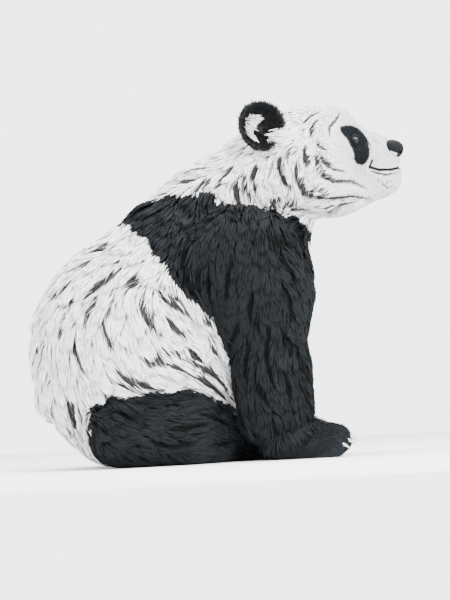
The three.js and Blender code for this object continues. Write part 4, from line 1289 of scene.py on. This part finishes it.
regions = regionsOf(roots)
fur = coatMaterial()
coatTotal = 0
for styleName, chosen in (("long", roots.length > coat["short"]), ("short", roots.length <= coat["short"])):
    style = styles[styleName]
    some = someOf(roots, chosen)
    someRegions = regions[chosen]
    findLocks(some, 24)
    line, ups = growCoat(some, style)
    gather(some, style, line)
    colourTufts(some, line)
    shown = ~(coversFeatures(line[-1]) | coversFeatures(line[-2]) | some.closes)
    for region in sorted(set(someRegions)):
        pick = np.flatnonzero((someRegions == region) & shown)
        name = region if styleName == "long" else region + "Short"
        piece, triangles = tuftMesh(name, some, style, line, ups, pick)
        piece.data.materials.append(fur)
        place(piece)
        coatTotal += triangles
        print("panda: %s %d tufts %d triangles" % (piece.name, len(pick), triangles))
print("panda: coat triangles", coatTotal)

flesh = ["torso", "neck", "head", "tail"]
for hand in ("right", "left"):
    for part in ("ear", "upper_arm", "forearm", "forepaw", "thigh", "shin", "hindfoot"):
        flesh.append(part + "_" + hand)
place(skin)
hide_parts(*flesh)


# Eyes: a ball with rings of colour round the way it looks, under a clear coat.
irisStops = ((0.0, (0.016, 0.013, 0.012, 1)), (0.84, (0.010, 0.008, 0.007, 1)),
             (0.885, (0.002, 0.002, 0.002, 1)), (0.905, (0.014, 0.007, 0.004, 1)),
             (0.972, (0.008, 0.005, 0.003, 1)), (0.980, (0.001, 0.001, 0.001, 1)))


def eyeMaterial(name):
    gloss = {"Coat Weight": 1.0, "Coat Roughness": 0.02, "Specular IOR Level": 0.1}
    material, tree, shader = newMaterial(name, 0.05, gloss)
    gaze = node(tree, "ShaderNodeAttribute", attribute_name="gaze")
    ramp = node(tree, "ShaderNodeValToRGB", Fac=gaze.outputs["Fac"])
    for n, (at, tint) in enumerate(irisStops):
        stop = ramp.color_ramp.elements[n] if n < 2 else ramp.color_ramp.elements.new(at)
        stop.position, stop.color = at, tint
    tree.links.new(ramp.outputs["Color"], shader.inputs["Base Color"])
    return material


def makeEye(side):
    hand = "right" if side < 0 else "left"
    mirror = np.array((1, side, 1))
    ball = addSphere(48, 32, radius=eye["radius"])
    ball.name = ball.data.name = "eye_ball_" + hand
    spots = pointsOf(ball.data)
    axis = unit(eyeOut * mirror + np.array(eye["gaze"]))
    writeAttribute(ball.data, "gaze", unit(spots) @ axis)
    setPoints(ball.data, spots + eyeMiddle * mirror)
    smoothFaces(ball.data)
    ball.data.materials.append(eyeMaterial("eye_" + hand))
    place(ball)
    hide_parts("eye_" + hand)


for side in (-1, 1):
    makeEye(side)


def noseMaterial():
    material, tree, shader = newMaterial("nose_leather", 0.55, {"Specular IOR Level": 0.07})
    pebbles = onObject(tree, "ShaderNodeTexVoronoi", Scale=620.0)
    blotch = onObject(tree, "ShaderNodeTexNoise", Scale=90.0, Detail=4.0)
    tint = mixNode(tree, blotch.outputs["Fac"], (0.004, 0.005, 0.0055, 1), (0.0095, 0.011, 0.0125, 1))
    # The pale patch on the nostril wing is a painted highlight.
    wingHighlight = node(tree, "ShaderNodeAttribute", attribute_name="wingHighlight")
    tint = mixNode(tree, wingHighlight.outputs["Fac"], tint, (0.62, 0.60, 0.59, 1))
    surfaceOf(tree, shader, tint, pebbles.outputs["Distance"], 0.45, 0.0006)
    return material


def makeNose():
    pad = addSphere(112, 80)                                # a rounded block, tapered below and behind
    pad.name = pad.data.name = "nose_leather"
    half, power = np.array(nosePad["half"]), nosePad["square"]
    spots = pointsOf(pad.data)
    square = np.abs(spots) ** power
    spots = spots / (square.sum(axis=1) ** (1 / power))[:, None]
    spots = spots * half * nosePad["shrink"]
    behind = smoothStep(-spots[:, 0] / half[0])
    spots[:, 2] *= 1.0 - nosePad["taper"] * behind * (spots[:, 2] < 0)
    spots[:, 1] *= 1.0 + nosePad["flare"] * np.clip(spots[:, 2] / half[2], -1, 1)
    groove = bell(spots[:, 1], nosePad["grooveWide"]) * smoothStep(-spots[:, 2] / 0.008 + 0.6)
    spots[:, 0] -= nosePad["groove"] * groove * smoothStep(spots[:, 0] / 0.010)
    spots = tilted(spots, nosePad["tilt"]) + np.array(nosePad["at"])
    setPoints(pad.data, spots)
    # A pale patch on the lower nostril wing: painted highlight.
    wing = smoothStep(insideOf(nosePad["wing"], spots[:, 0], spots[:, 2]) / 0.0012 + 0.5)
    writeAttribute(pad.data, "wingHighlight", wing * (np.abs(spots[:, 1]) > nosePad["wingFrom"]))
    for side in (-1, 1):
        for hole in nosePad["holes"]:
            (x, y, z), (roll, pitch, yaw) = hole["at"], hole["turn"]
            cutter = addSphere(28, 18, (x, side * y, z), turn=(roll, pitch, side * yaw), size=hole["size"])
            applyModifier(pad, "BOOLEAN", operation="DIFFERENCE", solver="MANIFOLD", object=cutter)
            bpy.data.objects.remove(cutter)
    smoothFaces(pad.data)
    pad.data.materials.clear()
    pad.data.materials.append(noseMaterial())
    place(pad)
    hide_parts("nose")


makeNose()
print("panda: eyes and nose")

# Claws: a ring drawn out along a curve that falls to the floor, for a claw one unit long.
claw = {"sides": 14, "fore": (0.030, 0.0042, 1.0), "hind": (0.021, 0.0032, 0.7), "raise": 0.001, "tall": 1.2,
        "turn": 0.09, "floor": 0.001,
        "curve": ((0.00, 0.00, 1.00), (0.14, 0.02, 1.00), (0.36, 0.0, 0.98), (0.58, -0.12, 0.90),
                  (0.76, -0.29, 0.76), (0.88, -0.45, 0.56), (0.96, -0.58, 0.34), (1.00, -0.66, 0.10))}


def clawMaterial():
    material, tree, shader = newMaterial("claw", 0.32, {"Coat Weight": 0.2})
    grain = onObject(tree, "ShaderNodeMapping", Scale=(30.0, 420.0, 420.0))
    streaks = node(tree, "ShaderNodeTexNoise", Vector=grain.outputs["Vector"], Scale=1.0, Detail=3.0)
    streaks = streaks.outputs["Fac"]
    tint = mixNode(tree, streaks, (0.52, 0.50, 0.46, 1), (0.80, 0.79, 0.76, 1))
    surfaceOf(tree, shader, tint, streaks, 0.2, 0.0004)
    return material


def modelClaw(kind):
    long, thick, fall = claw[kind]
    bpy.ops.object.select_all(action="DESELECT")
    bpy.ops.mesh.primitive_circle_add(vertices=claw["sides"], radius=thick, fill_type="NGON",
                                      location=(0, 0, 0), rotation=(0, math.pi / 2, 0))
    horn = bpy.context.object
    bpy.ops.object.transform_apply(location=True, rotation=True, scale=True)
    editAll(horn)
    bpy.ops.transform.resize(value=(1, 1, claw["tall"]), center_override=(0, 0, 0))
    curve = claw["curve"]
    for before, after in zip(curve, curve[1:]):
        step = ((after[0] - before[0]) * long, 0, (after[1] - before[1]) * long * fall)
        bpy.ops.mesh.extrude_region_move(TRANSFORM_OT_translate={"value": step})
        size = after[2] / before[2]
        middle = (after[0] * long, 0, after[1] * long * fall)
        bpy.ops.transform.resize(value=(size, size, size), center_override=middle)
        bpy.ops.transform.rotate(value=claw["turn"] * fall, orient_axis="Y", center_override=middle)
    closeOutwards()
    applyModifier(horn, "SUBSURF", levels=1, render_levels=1)
    smoothFaces(horn.data)
    return horn


horny = clawMaterial()
for kind in ("fore", "hind"):
    horn = modelClaw(kind)
    long, thick, _ = claw[kind]
    for hand in ("right", "left"):
        for n in range(1, 6):
            cadNode = "claw_%s_%s_%d" % (kind, hand, n)
            low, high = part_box(cadNode)
            piece = horn.copy()
            piece.data = horn.data.copy()
            piece.name = piece.data.name = "horn_%s_%s_%d" % (kind, hand, n)
            bpy.context.collection.objects.link(piece)
            spots = pointsOf(piece.data)
            top = high.z - thick * claw["tall"] + claw["raise"]
            spots += np.array((high.x - long, (low.y + high.y) / 2, top))
            spots[:, 2] = np.maximum(spots[:, 2], claw["floor"])
            setPoints(piece.data, spots)
            piece.data.materials.append(horny)
            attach(piece, "root")
            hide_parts(cadNode)
    bpy.data.objects.remove(horn)
print("panda: claws")

# Camera, lights, world and floor.
shot = {"aim": (0.0124, 0.0, 0.411), "distance": 30.0, "lens": 705.0, "rise": 0.35, "roll": 3.0}


def makeCamera():
    rise, roll = math.radians(shot["rise"]), math.radians(shot["roll"])
    back = Vector((0, -math.cos(rise), math.sin(rise)))
    side = Vector((1, 0, 0))
    up = back.cross(side)
    right = side * math.cos(roll) - up * math.sin(roll)
    top = side * math.sin(roll) + up * math.cos(roll)
    data = bpy.data.cameras.new("camera")
    data.lens = shot["lens"]
    data.sensor_width = 36.0
    data.clip_end = 300.0
    camera = bpy.data.objects.new("camera", data)
    bpy.context.collection.objects.link(camera)
    turn = Matrix((right, top, back)).transposed().to_4x4()
    camera.matrix_world = Matrix.Translation(Vector(shot["aim"]) + back * shot["distance"]) @ turn
    bpy.context.scene.camera = camera


lights = {
    "key": {"at": (1.2, -2.6, 2.5), "size": 1.8, "power": 225},
    "front": {"at": (2.97, -0.94, 2.0), "size": 0.9, "power": 90},
    "fill": {"at": (-2.6, -2.2, 1.3), "size": 2.2, "power": 60},
    "top": {"at": (-0.2, 0.2, 3.6), "size": 3.2, "power": 310},
}


def addLights():
    for name, light in lights.items():
        data = bpy.data.lights.new(name, "AREA")
        data.shape = "DISK"
        data.size, data.energy = light["size"], light["power"]
        lamp = bpy.data.objects.new(name, data)
        lamp.location = light["at"]
        lamp.rotation_euler = (Vector((0, 0, 0.45)) - Vector(light["at"])).to_track_quat("-Z", "Y").to_euler()
        bpy.context.collection.objects.link(lamp)


# The world is brightest behind the animal, as a lit backdrop is.
backdrop = {"tint": (0.985, 0.99, 1.0, 1), "from": 0.70, "to": 0.98, "dim": 1.80, "bright": 4.2}


def makeWorld():
    world = bpy.data.worlds.new("studio")
    bpy.context.scene.world = world
    world.use_nodes = True
    tree = world.node_tree
    heading = node(tree, "ShaderNodeTexCoord")
    axes = node(tree, "ShaderNodeSeparateXYZ", Vector=heading.outputs["Generated"])
    level = node(tree, "ShaderNodeMapRange", interpolation_type="SMOOTHSTEP")
    for entry, value in enumerate((axes.outputs["Y"], backdrop["from"], backdrop["to"], backdrop["dim"],
                                   backdrop["bright"])):
        feed(tree, value, level.inputs[entry])
    tree.nodes["Background"].inputs[0].default_value = backdrop["tint"]
    tree.links.new(level.outputs[0], tree.nodes["Background"].inputs[1])


makeCamera()
addLights()
makeWorld()
bpy.ops.object.select_all(action="DESELECT")
bpy.ops.mesh.primitive_circle_add(vertices=96, radius=2.6, fill_type="NGON", location=(0, 0, -0.0005))
floor = bpy.context.object
floor.name = "studioFloor"
floor.data.materials.append(newMaterial("paper", 0.9, {"Base Color": (0.97, 0.97, 0.97, 1)})[0])
